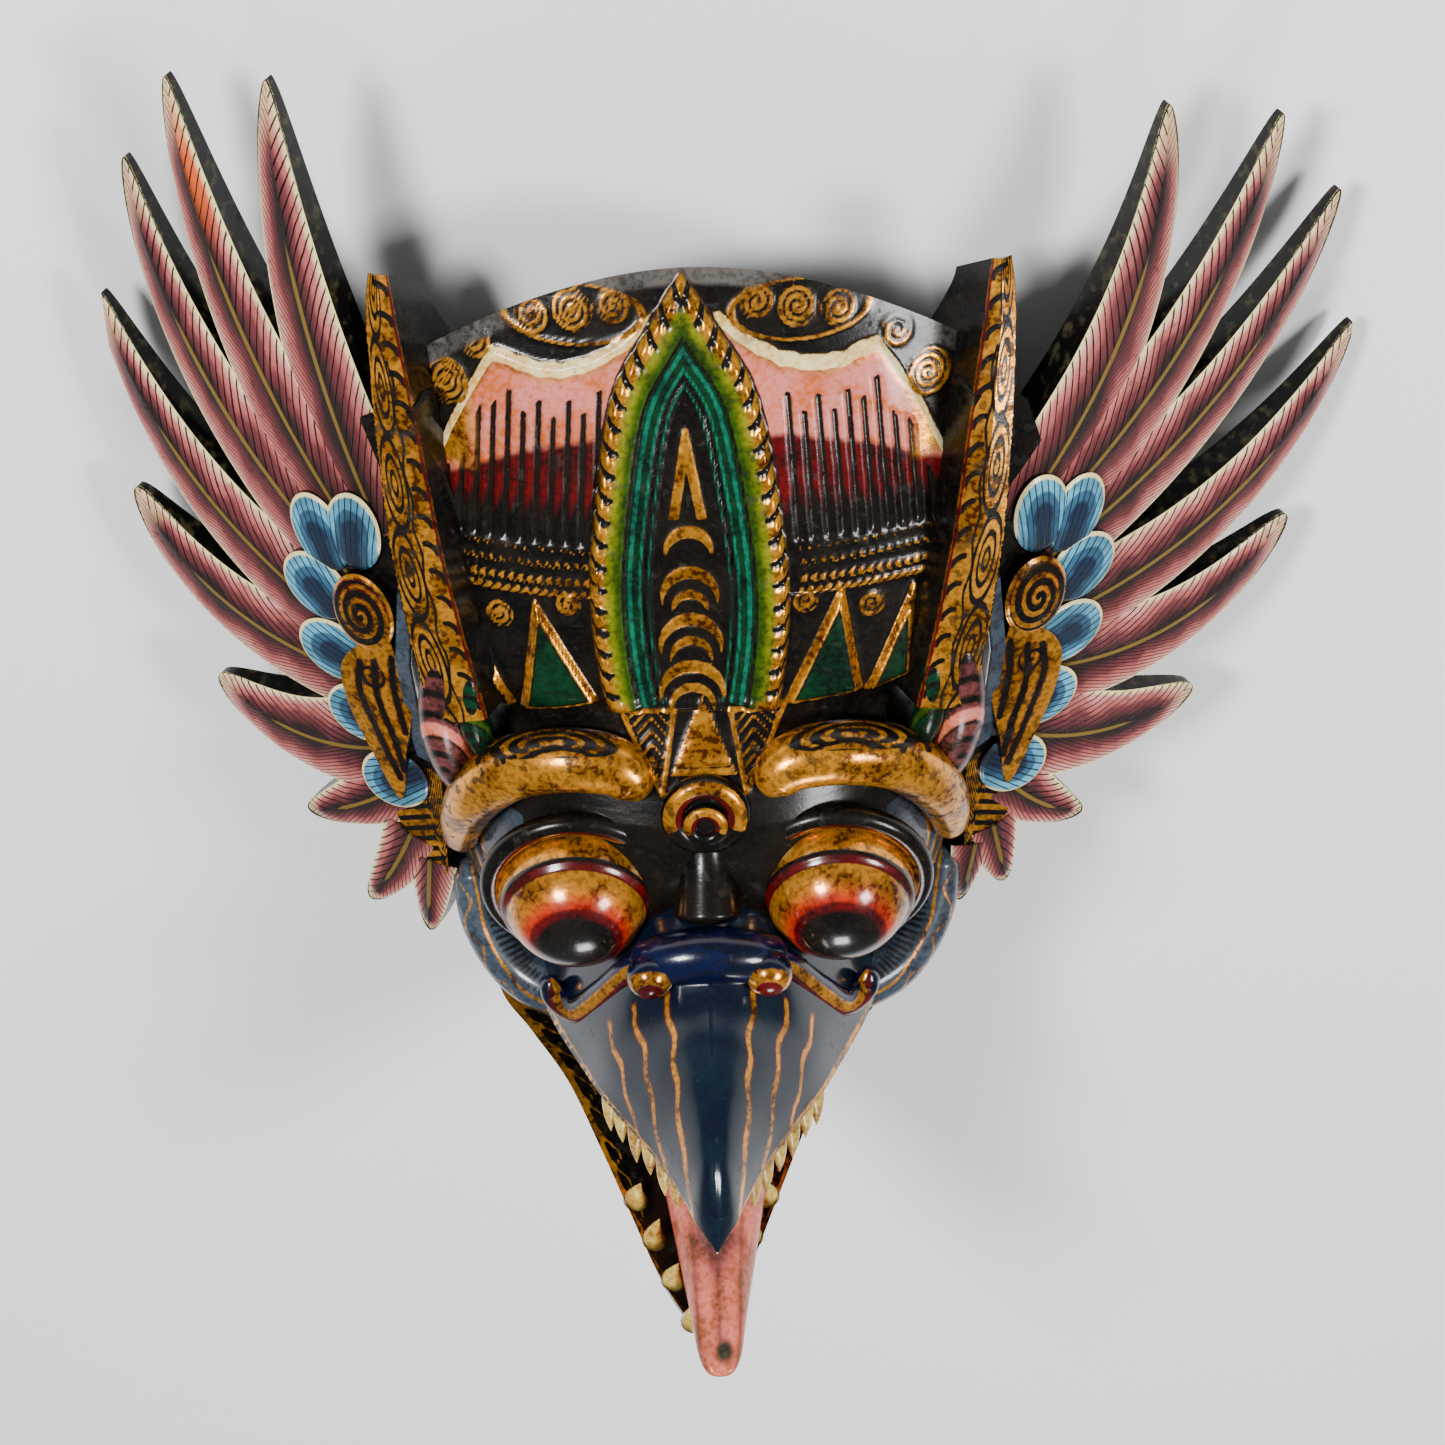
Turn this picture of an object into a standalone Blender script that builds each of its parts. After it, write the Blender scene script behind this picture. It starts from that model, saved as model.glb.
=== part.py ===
"""Carved and painted wooden garuda mask, lying on its open back.

Metres. +X is the viewer's right, +Y points to the crown, +Z points out of the face.
Three carved pieces: the head with crown, beak, jaw and tongue, and two wings fixed to its sides.
"""

import math

import bmesh
import bpy
from mathutils import Vector

MM = 0.001

# Fits
FIT_GAP = 0.3 * MM
WALL = 13 * MM
SLOPE_ALLOWANCE = 1.15

# Head, as it is measured on the real mask
CROWN_RISE = 144 * MM
CROWN_TOP_DEPTH = 58 * MM
FOREHEAD_DEPTH = 105 * MM
CROWN_BULGE = 4 * MM
CROWN_SAG = 16 * MM
CROWN_HALF = 84 * MM
CROWN_ARCH = 40 * MM
DOME_FALL = 42 * MM
FACE_HALF = 97 * MM
FACE_ROUND = 2.3
CHIN_REACH = 165 * MM
BLOCK_MARGIN = 13 * MM
BLEND_TOP = 10 * MM
BLEND_LENGTH = 25 * MM
# Centre line of the face below the forehead: height along the face, depth
FACE_LINE = [(-170, 15), (-160, 42), (-148, 72), (-135, 96), (-120, 114), (-100, 126),
             (-75, 131), (-52, 129), (-35, 125), (-20, 116), (0, 105)]
# Outline of the head from above: height along the face, half width
SIDE_LINE = [(-165, 8), (-161, 36), (-152, 65), (-136, 83), (-110, 91), (-70, 94),
             (-20, 97), (20, 99), (55, 101), (84, 102), (110, 99)]
# Long plate down each side under the blade: height, depth of its front
SIDE_PLATE = [(34, 84), (4, 81), (-30, 76), (-62, 69), (-88, 58)]
SIDE_PLATE_WIDTH = 18 * MM
SIDE_PLATE_FOOT = 12 * MM
SIDE_PLATE_INSET = 0.6 * MM

# Side blades of the crown: height, outer half width, inner half width
BLADE_LINE = [(145, 102, 96), (138, 103, 95), (128, 103.5, 94), (96, 102.5, 89), (60, 100, 84),
              (28, 95.5, 78), (0, 90, 72)]
BLADE_PROUD = 1.5 * MM
BLADE_DEPTH = 36 * MM
BLADE_FALL = 29 * MM
BLADE_FLARE = 20 * MM
BLADE_FOOT = 18 * MM
BLADE_CREST = 0.5
BLADE_CREST_FROM = 118 * MM
BLADE_CREST_LENGTH = 27 * MM

# Crown ornament
LEAF_LINE = [(142, 0), (126, 13), (105, 24), (66, 30.5), (39, 32), (11, 30), (-2, 24)]
LEAF_PROUD = 4 * MM
LEAF_RIM = 8.5 * MM
LEAF_RECESS = 2 * MM
PANEL_LINE = [(84.5, 86), (74, 99), (64, 120), (50, 122), (34, 125), (16, 131), (30, 100),
              (36, 62), (37, 36), (34, 6), (71, -2), (76, 40)]
PANEL_PROUD = 1.6 * MM
FLUTES = 8
FLUTE_DEPTH = 1.3 * MM
FLUTE_WIDTH = 3.2 * MM
# Groove fan: height, distance of the innermost and the outermost groove from the middle
FLUTE_FAN = [(118, 32, 80), (96, 31.3, 76.9), (75, 30.6, 73.7), (56, 30, 71)]
SPEAR_LEAVES = [((54, 38), (61, -3), (37, 3)), ((76, 36), (74, -6), (63, -3))]
SPEAR_PROUD = 3.4 * MM

# Face
EYE_CENTRE = Vector((45, -71, 122)) * MM
EYE_RADIUS = 23 * MM
LID_RADIUS = 27 * MM
LID_BEHIND = 3 * MM
LID_RISE = 1.5 * MM
LID_THICK = 4.5 * MM
LID_TILT = math.radians(-4)
BROW_LINE = [(19, -22, 121, 7), (30, -13, 117, 10), (47, -12, 114, 11), (64, -20, 108, 11),
             (77, -38, 99, 10), (84, -60, 88, 8), (86, -80, 80, 5)]
FOREHEAD_DISC = Vector((0, -31, 122)) * MM
FOREHEAD_DISC_RADIUS = 11 * MM
FOREHEAD_DISC_THICK = 4 * MM
FOREHEAD_DISC_TILT = 0.2
BRIDGE_LINE = [(0, -36, 122, 9), (0, -52, 130, 12), (0, -68, 139, 15)]
CERE_LINE = [(-26, -79, 141, 6), (-14, -75, 145, 9), (0, -73, 146, 10), (14, -75, 145, 9),
             (26, -79, 141, 6)]
NOSTRIL_CENTRE = Vector((19, -81, 146)) * MM
NOSTRIL_RADIUS = 8 * MM
WHISKER_LINE = [(15, -72, 145, 4), (27, -86, 137, 4), (37, -106, 130, 4.5), (46, -121, 123, 5),
                (54, -119, 116, 4.5)]
CHEEK_LINE = [(84, -92, 72, 7), (79, -114, 82, 9), (66, -129, 93, 10), (48, -133, 104, 9)]

# Upper beak: depth, ridge height, edge height, half width
BEAK_LINE = [(96, -52, -132, 62), (118, -58, -132, 55), (140, -66, -132, 45), (155, -80, -131, 38),
             (170, -87, -130.5, 29), (185, -94, -130.5, 20), (202, -104, -131, 11.5), (213, -115, -132, 7)]
BEAK_TIP = Vector((0, -135, 223)) * MM
BEAK_HOLLOW_SHARE = 0.08
# Outline of half a beak section from ridge to edge: share of its half width, share of its height
BEAK_SECTION = [(0, 0), (0.32, 0.10), (0.62, 0.34), (0.86, 0.68), (1, 1)]
# Outline of half a jaw section from rim to keel
JAW_SECTION = [(1, 0), (0.86, 0.45), (0.5, 0.98)]
# Lower jaw: depth, rim height, keel height, half width
JAW_LINE = [(56, -128, -156, 76), (88, -140, -165, 71), (108, -144, -172, 59), (128, -150, -180, 46),
            (150, -161, -188, 35), (168, -172, -194, 26), (190, -186, -202, 14.5)]
JAW_TIP = Vector((0, -199, 208)) * MM
JAW_TROUGH = 6 * MM
# Tongue: depth, top, underside, half width
TONGUE_LINE = [(92, -134, -152, 32), (130, -141, -162, 25), (155, -147, -174, 20), (180, -156, -188, 15),
               (195, -165, -195, 12), (210, -174, -192, 9.5), (222, -182, -194, 6.5)]
TONGUE_TIP = Vector((0, -189, 231)) * MM
UPPER_TEETH = 6
UPPER_TEETH_FROM = 128 * MM
UPPER_TEETH_TO = 188 * MM
UPPER_TOOTH = 15 * MM
LOWER_TEETH = 6
LOWER_TEETH_FROM = 116 * MM
LOWER_TEETH_TO = 198 * MM
LOWER_TOOTH = 12 * MM
JAW_ASIDE = -5 * MM
TOOTH_RADIUS = 4.2 * MM

# Wings, in the wing's own plane: reach from the root and angle up from level
WING_ROOT_HALF = 95 * MM
WING_DROP = 31 * MM
WING_ROOT_DEPTH = FOREHEAD_DEPTH - WING_DROP
WING_THICK = 14 * MM
FEATHER_RIDGE = 1.6 * MM
FEATHER_TAPER = 0.62
FEATHER_STEPS = 6
FEATHER_TIP_THICK = 4 * MM
# Reach and angle of each feather's tip, bow, half width, place of its base
LEFT_FEATHERS = [(217.5, 80.1, 0.10, 18.5, 10, 51), (219.7, 70, 0.13, 17.5, 18.5, 44),
                 (197, 61, 0.18, 17, 25, 30), (162, 45.8, 0.22, 18, 31, 6), (116.5, 19, 0.29, 19, 30, -14),
                 (93.2, -23.1, 0.28, 22, 20, -45), (103.2, -58.3, 0.10, 14, 17, -64),
                 (126.3, -75.6, 0.06, 12, 10, -82), (128.4, -87, 0.0, 10, 3, -92)]
RIGHT_FEATHERS = [(201, 72, 0.19, 19, 11, 49), (205, 58.9, 0.17, 18, 19, 42), (192, 46.7, 0.19, 17.5, 25, 29),
                  (166, 30.6, 0.26, 19, 31, 2), (123.5, 5, 0.30, 20, 30, -20),
                  (104.1, -30.8, 0.23, 22, 16, -44), (104.6, -64.3, 0.12, 14, 13, -66),
                  (115.1, -83.1, 0.0, 11, 7, -84), (115.9, -92.4, 0.0, 9, 0, -90)]
LONG_FEATHERS = 4
SHORT_TAPER = 0.5
LEFT_SWEEP = math.radians(28)
RIGHT_SWEEP = math.radians(26)
ROOT_PLATE = [(-24, 112), (2, 110), (14, 97), (26, 60), (38, 0), (30, -45), (16, -74), (6, -98), (-24, -98)]
# Middle of each petal and the way that it points
PETALS = [(20, 50, 86), (34, 45, 105), (39, 24, 128), (36, -4, 160), (27, -30, 185), (16, -58, 215)]
PETAL_HALF_WIDTH = 9.5 * MM
PETAL_HALF_LENGTH = 14.5 * MM
PETAL_PROUD = 4.5 * MM
PETAL_SIDES = 10
PETAL_CROWN = 1.2 * MM
PETAL_FOOT = 6 * MM
LAP_STEP = 0.3 * MM
EAR_DISC = Vector((18, 18)) * MM
EAR_DISC_HALF_WIDTH = 12 * MM
EAR_DISC_HALF_HEIGHT = 16 * MM
EAR_PROUD = 7 * MM
EAR_CROWN = 1.5 * MM
EAR_FOOT = 5 * MM
EAR_LEAF = [(8, 8), (20, 4), (29, -8), (28, -24), (20, -44), (10, -62), (6, -40), (2, -16)]

HEAD_PAINT = (0.05, 0.045, 0.04, 1.0)
WING_PAINT = (0.35, 0.16, 0.14, 1.0)
LACQUER_ROUGHNESS = 0.3


def clear_scene():
    """Remove everything that an empty file starts with."""
    for item in list(bpy.data.objects):
        bpy.data.objects.remove(item, do_unlink=True)


def material(name, colour):
    """Painted and lacquered wood."""
    paint = bpy.data.materials.new(name)
    paint.use_nodes = True
    shader = paint.node_tree.nodes["Principled BSDF"]
    shader.inputs["Base Color"].default_value = colour
    shader.inputs["Roughness"].default_value = LACQUER_ROUGHNESS
    shader.inputs["Metallic"].default_value = 0.0
    return paint


def new_object(name, bm):
    """Object in the scene from a bmesh, its faces turned outwards."""
    bmesh.ops.remove_doubles(bm, verts=bm.verts, dist=1e-6)
    bmesh.ops.triangulate(bm, faces=bm.faces[:])
    bmesh.ops.recalc_face_normals(bm, faces=bm.faces)
    mesh = bpy.data.meshes.new(name)
    bm.to_mesh(mesh)
    bm.free()
    item = bpy.data.objects.new(name, mesh)
    bpy.context.scene.collection.objects.link(item)
    return item


def boolean(target, tools, operation):
    """Apply one exact Boolean of all tools to the target, and remove the tools."""
    holder = bpy.data.collections.new("tools")
    bpy.context.scene.collection.children.link(holder)
    for tool in tools:
        bpy.context.scene.collection.objects.unlink(tool)
        holder.objects.link(tool)
    cut = target.modifiers.new("cut", "BOOLEAN")
    cut.operation = operation
    cut.solver = "EXACT"
    cut.operand_type = "COLLECTION"
    cut.collection = holder
    bpy.context.view_layer.update()
    evaluated = target.evaluated_get(bpy.context.evaluated_depsgraph_get())
    result = bpy.data.meshes.new_from_object(evaluated)
    target.modifiers.clear()
    target.data = result
    for tool in tools:
        bpy.data.objects.remove(tool, do_unlink=True)
    bpy.data.collections.remove(holder)
    return target


def ease(share):
    """Smooth step from 0 to 1."""
    share = min(max(share, 0.0), 1.0)
    return share * share * (3 - 2 * share)


def read_line(line, place):
    """Value at a place along a list of (place, value) given in millimetres, straight between its points."""
    place = place / MM
    points = sorted(line)
    if place <= points[0][0]:
        return points[0][1] * MM
    for low, high in zip(points, points[1:]):
        if place <= high[0]:
            share = (place - low[0]) / (high[0] - low[0])
            return (low[1] + share * (high[1] - low[1])) * MM
    return points[-1][1] * MM


def smooth_line(line, steps):
    """Points on a smooth curve through the given points, of any number of values each."""
    points = [Vector(p) for p in line]
    ends = [2 * points[0] - points[1]] + points + [2 * points[-1] - points[-2]]
    result = []
    for i in range(1, len(ends) - 2):
        before, start, end, after = ends[i - 1:i + 3]
        for k in range(steps):
            t = k / steps
            result.append(0.5 * (2 * start + (end - before) * t
                                 + (2 * before - 5 * start + 4 * end - after) * t * t
                                 + (3 * start - before - 3 * end + after) * t ** 3))
    result.append(points[-1])
    return result


def crown_depth(x, y):
    """Depth of the crown's front, leaning forward from its top to the forehead."""
    share = min(max(y / CROWN_RISE, 0.0), 1.0)
    lean = (FOREHEAD_DEPTH - CROWN_TOP_DEPTH) * y / CROWN_RISE
    sag = CROWN_SAG * (abs(x) / CROWN_HALF) ** 2.5
    return FOREHEAD_DEPTH - lean + CROWN_BULGE * math.sin(math.pi * share) - sag


def face_depth(x, y):
    """Depth of the face below the forehead, rounded to the cheeks."""
    side = min(abs(x) / FACE_HALF, 0.999)
    return read_line(FACE_LINE, y) * (1 - side ** FACE_ROUND) ** (1 / FACE_ROUND)


def front_depth(x, y):
    """Depth of the head's front before its carving."""
    share = ease((BLEND_TOP - y) / BLEND_LENGTH)
    return crown_depth(x, y) * (1 - share) + face_depth(x, y) * share


def relief_block(name, low, high, cells, depth, foot):
    """Closed block over a rectangle, with a foot below and a top that follows a depth function."""
    bm = bmesh.new()
    bmesh.ops.create_grid(bm, x_segments=cells[0], y_segments=cells[1], size=1.0)
    for vert in bm.verts:
        x = low[0] + (vert.co.x + 1) / 2 * (high[0] - low[0])
        y = low[1] + (vert.co.y + 1) / 2 * (high[1] - low[1])
        vert.co = (x, y, depth(x, y))
    below = bmesh.ops.extrude_face_region(bm, geom=bm.faces[:])
    for part in below["geom"]:
        if isinstance(part, bmesh.types.BMVert):
            part.co.z = foot
    return new_object(name, bm)


def plate(name, outline, low, high):
    """Flat plate with the given outline in millimetres, between two depths."""
    bm = bmesh.new()
    ring = [bm.verts.new((x * MM, y * MM, low)) for x, y in outline]
    base = bm.faces.new(ring)
    top = bmesh.ops.extrude_face_region(bm, geom=[base])
    for part in top["geom"]:
        if isinstance(part, bmesh.types.BMVert):
            part.co.z = high
    return new_object(name, bm)


def loft(name, rings, tip=None):
    """Closed body through rings of points, with a flat start and a flat or pointed end."""
    bm = bmesh.new()
    rows = [[bm.verts.new(point) for point in ring] for ring in rings]
    count = len(rows[0])
    for first, second in zip(rows, rows[1:]):
        for i in range(count):
            bm.faces.new((first[i], first[(i + 1) % count], second[(i + 1) % count], second[i]))
    bm.faces.new(rows[0])
    if tip is None:
        bm.faces.new(rows[-1])
    else:
        end = bm.verts.new(tip)
        for i in range(count):
            bm.faces.new((rows[-1][i], rows[-1][(i + 1) % count], end))
    return new_object(name, bm)


def roll(name, line, side, sides=8, grow=0.0):
    """Rounded carved roll along a line of (x, y, z, radius) in millimetres, mirrored by side."""
    points = smooth_line(line, 2)
    rings = []
    for i, point in enumerate(points):
        near = points[max(i - 1, 0)]
        far = points[min(i + 1, len(points) - 1)]
        along = Vector((side * (far[0] - near[0]), far[1] - near[1], far[2] - near[2])).normalized()
        across = along.cross(Vector((0, 0, 1))).normalized()
        up = across.cross(along)
        centre = Vector((side * point[0], point[1], point[2])) * MM
        radius = point[3] * MM + grow
        rings.append([centre + radius * (across * math.cos(a) + up * math.sin(a))
                      for a in (2 * math.pi * k / sides for k in range(sides))])
    return loft(name, rings)


def ball(name, centre, radius, segments=14, rings=9):
    """Carved ball."""
    bm = bmesh.new()
    bmesh.ops.create_uvsphere(bm, u_segments=segments, v_segments=rings, radius=radius)
    bmesh.ops.translate(bm, verts=bm.verts, vec=centre)
    return new_object(name, bm)


def ring_roll(name, centre, radius, thick, tilt, segments=16, sides=5):
    """Carved ring around a centre, its axis tilted up from the face's own."""
    rings = []
    for i in range(segments):
        turn = 2 * math.pi * i / segments
        out = Vector((math.cos(turn), math.sin(turn) * math.cos(tilt), -math.sin(turn) * math.sin(tilt)))
        axis = Vector((0, math.sin(tilt), math.cos(tilt)))
        rings.append([centre + out * (radius + thick * math.cos(a)) + axis * thick * math.sin(a)
                      for a in (2 * math.pi * k / sides for k in range(sides))])
    bm = bmesh.new()
    rows = [[bm.verts.new(point) for point in ring] for ring in rings]
    for i in range(segments):
        first, second = rows[i], rows[(i + 1) % segments]
        for k in range(sides):
            bm.faces.new((first[k], first[(k + 1) % sides], second[(k + 1) % sides], second[k]))
    return new_object(name, bm)


def head_outline(inset):
    """Outline of the head from above, in millimetres, drawn in by inset."""
    shrink = inset / MM
    sides = smooth_line(SIDE_LINE, 2)
    right = [(p[1] - shrink, p[0] + (shrink if p[0] < -140 else 0)) for p in sides if p[1] > shrink]
    rise = CROWN_RISE / MM - shrink
    arch_half = right[-1][0]
    arch = []
    for k in range(1, 12):
        x = arch_half * (1 - k / 6)
        arch.append((x, rise - CROWN_ARCH / MM * (abs(x) / arch_half) ** 2))
    left = [(-x, y) for x, y in reversed(right)]
    return right + arch + left


def slope_back(item, low, high):
    """Let the top of the crown fall towards the open back."""
    for vert in item.data.vertices:
        share = (high - vert.co.z) / (high - low)
        vert.co.y -= share * DOME_FALL * ease(vert.co.y / CROWN_RISE) * (high - low) / CROWN_TOP_DEPTH
    return item


def head_shell():
    """Head without its carving: a rounded front on the head's outline."""
    high = FOREHEAD_DEPTH + BLOCK_MARGIN * 4
    reach = FACE_HALF + BLOCK_MARGIN
    front = relief_block("mask_head", (-reach, -CHIN_REACH - BLOCK_MARGIN), (reach, CROWN_RISE + BLOCK_MARGIN),
                         (16, 26), front_depth, -BLOCK_MARGIN)
    outline = slope_back(plate("outline", head_outline(0), 0, high), 0, CROWN_TOP_DEPTH)
    return boolean(front, [outline], "INTERSECT")


def head_hollow():
    """Inside of the mask, open at the back, a wall's thickness behind the front."""
    margin = WALL * SLOPE_ALLOWANCE
    low = -BLOCK_MARGIN
    room = relief_block("hollow", (-FACE_HALF, -CHIN_REACH), (FACE_HALF, CROWN_RISE), (8, 11),
                        lambda x, y: front_depth(x, y) - margin, low * 2)
    outline = slope_back(plate("hollow_outline", head_outline(WALL), low, FOREHEAD_DEPTH + BLOCK_MARGIN * 4), 0,
                         CROWN_TOP_DEPTH)
    return boolean(room, [outline], "INTERSECT")


def blade(side, grow=0.0):
    """Flared side blade of the crown, its top falling towards the back, its outer side moved out by grow."""
    rings = []
    for height, outer, inner in reversed(BLADE_LINE):
        y, outer, inner = height * MM, outer * MM + grow, inner * MM
        front = crown_depth(0.0, y) + BLADE_PROUD
        crest = BLADE_CREST * ease((y - BLADE_CREST_FROM) / BLADE_CREST_LENGTH)
        depth = min(BLADE_DEPTH, front - BLADE_FOOT) * (1 - crest)
        fall = BLADE_FALL * depth / BLADE_DEPTH * ease(y / CROWN_RISE)
        rings.append([Vector((side * outer, y, front - 1.5 * MM)),
                      Vector((side * (outer + inner) / 2, y, front + 0.8 * MM)),
                      Vector((side * inner, y, front)),
                      Vector((side * (inner - BLADE_FLARE * (1 - crest)), y - fall, front - depth)),
                      Vector((side * (outer - 2 * MM), y - fall, front - depth))])
    return loft("blade", rings)


def side_plate(side):
    """Long plate down the side of the face, behind the blade's foot."""
    rings = []
    for height, front in SIDE_PLATE:
        y, front = height * MM, front * MM
        outer = read_line(SIDE_LINE, y) - SIDE_PLATE_INSET
        inner = outer - SIDE_PLATE_WIDTH
        rings.append([Vector((side * outer, y, front - 3 * MM)), Vector((side * (outer - 5 * MM), y, front)),
                      Vector((side * inner, y, front - 2 * MM)), Vector((side * inner, y, SIDE_PLATE_FOOT)),
                      Vector((side * outer, y, SIDE_PLATE_FOOT))])
    return loft("side_plate", rings)


def proud_relief(name, outline, proud, cells):
    """Carved field with an outline in millimetres that stands proud of the crown's front."""
    xs = [p[0] * MM for p in outline]
    ys = [p[1] * MM for p in outline]
    edge = 3 * MM
    field = relief_block(name, (min(xs) - edge, min(ys) - edge), (max(xs) + edge, max(ys) + edge), cells,
                         lambda x, y: front_depth(x, y) + proud, 30 * MM)
    boolean(field, [plate("shape", outline, 34 * MM, 160 * MM)], "INTERSECT")
    within = slope_back(plate("within", head_outline(0.5 * MM), 0, 160 * MM), 0, CROWN_TOP_DEPTH)
    return boolean(field, [within], "INTERSECT")


def leaf_outline(inset):
    """Pointed oval of the central leaf, drawn in by inset."""
    shrink = inset / MM
    line = smooth_line(LEAF_LINE, 2)
    right = [(max(p[1] - shrink, 0), p[0] - shrink * 2.2 * (p[0] > 120) + shrink * (p[0] < 4)) for p in line]
    right = [p for i, p in enumerate(right) if p[0] > 0 or i == 0]
    left = [(-x, y) for x, y in reversed(right) if x > 0]
    return right + left


def spear_leaf(side, corners, index):
    """Small raised pointed leaf at the foot of the crown."""
    apex, foot_out, foot_in = (Vector((side * x * MM, y * MM)) for x, y in corners)
    middle = (apex + foot_out + foot_in) / 3
    base = 6 * MM
    ring = [Vector((*p, front_depth(*p) - base)) for p in (apex, foot_out, foot_in)]
    rim = [Vector((*p, front_depth(*p) + SPEAR_PROUD * 0.55)) for p in (apex, foot_out, foot_in)]
    peak = Vector((*middle, front_depth(*middle) + SPEAR_PROUD + 0.2 * MM * index))
    return loft("spear_leaf", [ring, rim], peak)


def flute(side, share):
    """V-shaped groove down a crown panel, fanning out towards the top."""
    rings = []
    for height, inner, outer in FLUTE_FAN:
        x = (inner + (outer - inner) * share) * MM * side
        y = height * MM
        half = FLUTE_WIDTH / 2
        top = front_depth(x, y) + PANEL_PROUD + 1 * MM
        rings.append([Vector((x - half, y, top)), Vector((x + half, y, top)),
                      Vector((x, y, top - 1 * MM - FLUTE_DEPTH))])
    return loft("flute", rings)


def crown_parts(side):
    """Carving of one side of the crown."""
    panel = proud_relief("panel", [(side * x, y) for x, y in PANEL_LINE], PANEL_PROUD, (5, 8))
    leaves = [spear_leaf(side, corners, i) for i, corners in enumerate(SPEAR_LEAVES)]
    return [panel, blade(side), side_plate(side)] + leaves


def central_leaf():
    """Central leaf with a raised rim round a sunk middle."""
    leaf = proud_relief("leaf", leaf_outline(0), LEAF_PROUD, (6, 10))
    middle = proud_relief("middle", leaf_outline(LEAF_RIM), LEAF_PROUD + 10 * MM, (2, 2))
    floor = proud_relief("floor", leaf_outline(LEAF_RIM - 2 * MM), LEAF_PROUD - LEAF_RECESS, (4, 8))
    boolean(middle, [floor], "DIFFERENCE")
    return boolean(leaf, [middle], "DIFFERENCE")


def section(half, ridge, edge, depth, hollow):
    """Beak section: rounded ridge, straight edges and a hollow underside."""
    right = [(across * half, ridge + down * (edge - ridge)) for across, down in BEAK_SECTION]
    lip = edge - 1 * MM
    left = [(-x, y) for x, y in reversed(right[1:])]
    points = right + [(0.8 * half, lip), (0.0, edge + hollow), (-0.8 * half, lip)] + left
    return [Vector((x, y, depth)) for x, y in points]


def upper_beak():
    """Hooked upper beak."""
    rings = []
    for depth, ridge, edge, half in BEAK_LINE:
        rings.append(section(half * MM, ridge * MM, edge * MM, depth * MM, BEAK_HOLLOW_SHARE * half * MM))
    return loft("upper_beak", rings, BEAK_TIP)


def lower_jaw():
    """Trough of the lower jaw."""
    rings = []
    for depth, rim, keel, half in JAW_LINE:
        rim, keel, half, depth = rim * MM, keel * MM, half * MM, depth * MM
        trough = min(JAW_TROUGH, 0.3 * (rim - keel))
        right = [(across * half, rim + down * (keel - rim)) for across, down in JAW_SECTION]
        left = [(-x, y) for x, y in reversed(right)]
        inside = [(-0.8 * half, rim - 0.5 * trough), (0.0, rim - trough), (0.8 * half, rim - 0.5 * trough)]
        points = right + [(0.0, keel)] + left + inside
        rings.append([Vector((x + JAW_ASIDE, y, depth)) for x, y in points])
    return loft("lower_jaw", rings, JAW_TIP + Vector((JAW_ASIDE, 0, 0)))


def tongue():
    """Tongue between the jaws, longer than both."""
    rings = []
    for depth, top, under, half in TONGUE_LINE:
        depth, top, under, half = depth * MM, top * MM, under * MM, half * MM
        right = [(0.6 * half, top - 0.06 * half), (half, top - 0.25 * half), (0.9 * half, under + 0.12 * half)]
        left = [(-x, y) for x, y in reversed(right)]
        points = [(0.0, top)] + right + [(0.0, under)] + left
        rings.append([Vector((x, y, depth)) for x, y in points])
    return loft("tongue", rings, TONGUE_TIP)


def tooth(root, point, radius):
    """Pointed tooth with six sides."""
    along = (point - root).normalized()
    across = along.cross(Vector((0, 0, 1))).normalized()
    up = across.cross(along)
    ring = [root + radius * (across * math.cos(a) + up * math.sin(a))
            for a in (math.pi / 3 * k for k in range(6))]
    return loft("tooth", [ring], point)


def line_value(line, column, depth):
    """One column of a beak or jaw line at a depth."""
    return read_line([(row[0], row[column]) for row in line], depth)


def teeth(side):
    """Upper and lower teeth of one side."""
    result = []
    for i in range(UPPER_TEETH):
        depth = UPPER_TEETH_FROM + (UPPER_TEETH_TO - UPPER_TEETH_FROM) * i / (UPPER_TEETH - 1)
        half = line_value(BEAK_LINE, 3, depth)
        edge = line_value(BEAK_LINE, 2, depth)
        root = Vector((side * (half - 3 * MM), edge + 3 * MM, depth))
        point = Vector((side * (half - 4 * MM), edge - UPPER_TOOTH, depth + 3 * MM))
        result.append(tooth(root, point, TOOTH_RADIUS))
    for i in range(LOWER_TEETH):
        depth = LOWER_TEETH_FROM + (LOWER_TEETH_TO - LOWER_TEETH_FROM) * i / (LOWER_TEETH - 1)
        half = line_value(JAW_LINE, 3, depth)
        rim = line_value(JAW_LINE, 1, depth)
        root = Vector((side * max(half - 4 * MM, 4 * MM) + JAW_ASIDE, rim - 4 * MM, depth))
        point = root + Vector((-side * 1 * MM, LOWER_TOOTH, 2 * MM))
        result.append(tooth(root, point, TOOTH_RADIUS))
    return result


def face_parts(side):
    """Carving of one side of the face."""
    mirrored = Vector((side, 1, 1))
    eye_centre = EYE_CENTRE * mirrored
    lid_centre = eye_centre + Vector((0, LID_RISE, -LID_BEHIND))
    return [ball("eye", eye_centre, EYE_RADIUS),
            ring_roll("lid", lid_centre, LID_RADIUS, LID_THICK, LID_TILT),
            roll("brow", BROW_LINE, side), roll("whisker", WHISKER_LINE, side, 6),
            roll("cheek", CHEEK_LINE, side, 6), ball("nostril", NOSTRIL_CENTRE * mirrored, NOSTRIL_RADIUS, 10, 7)]


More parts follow.
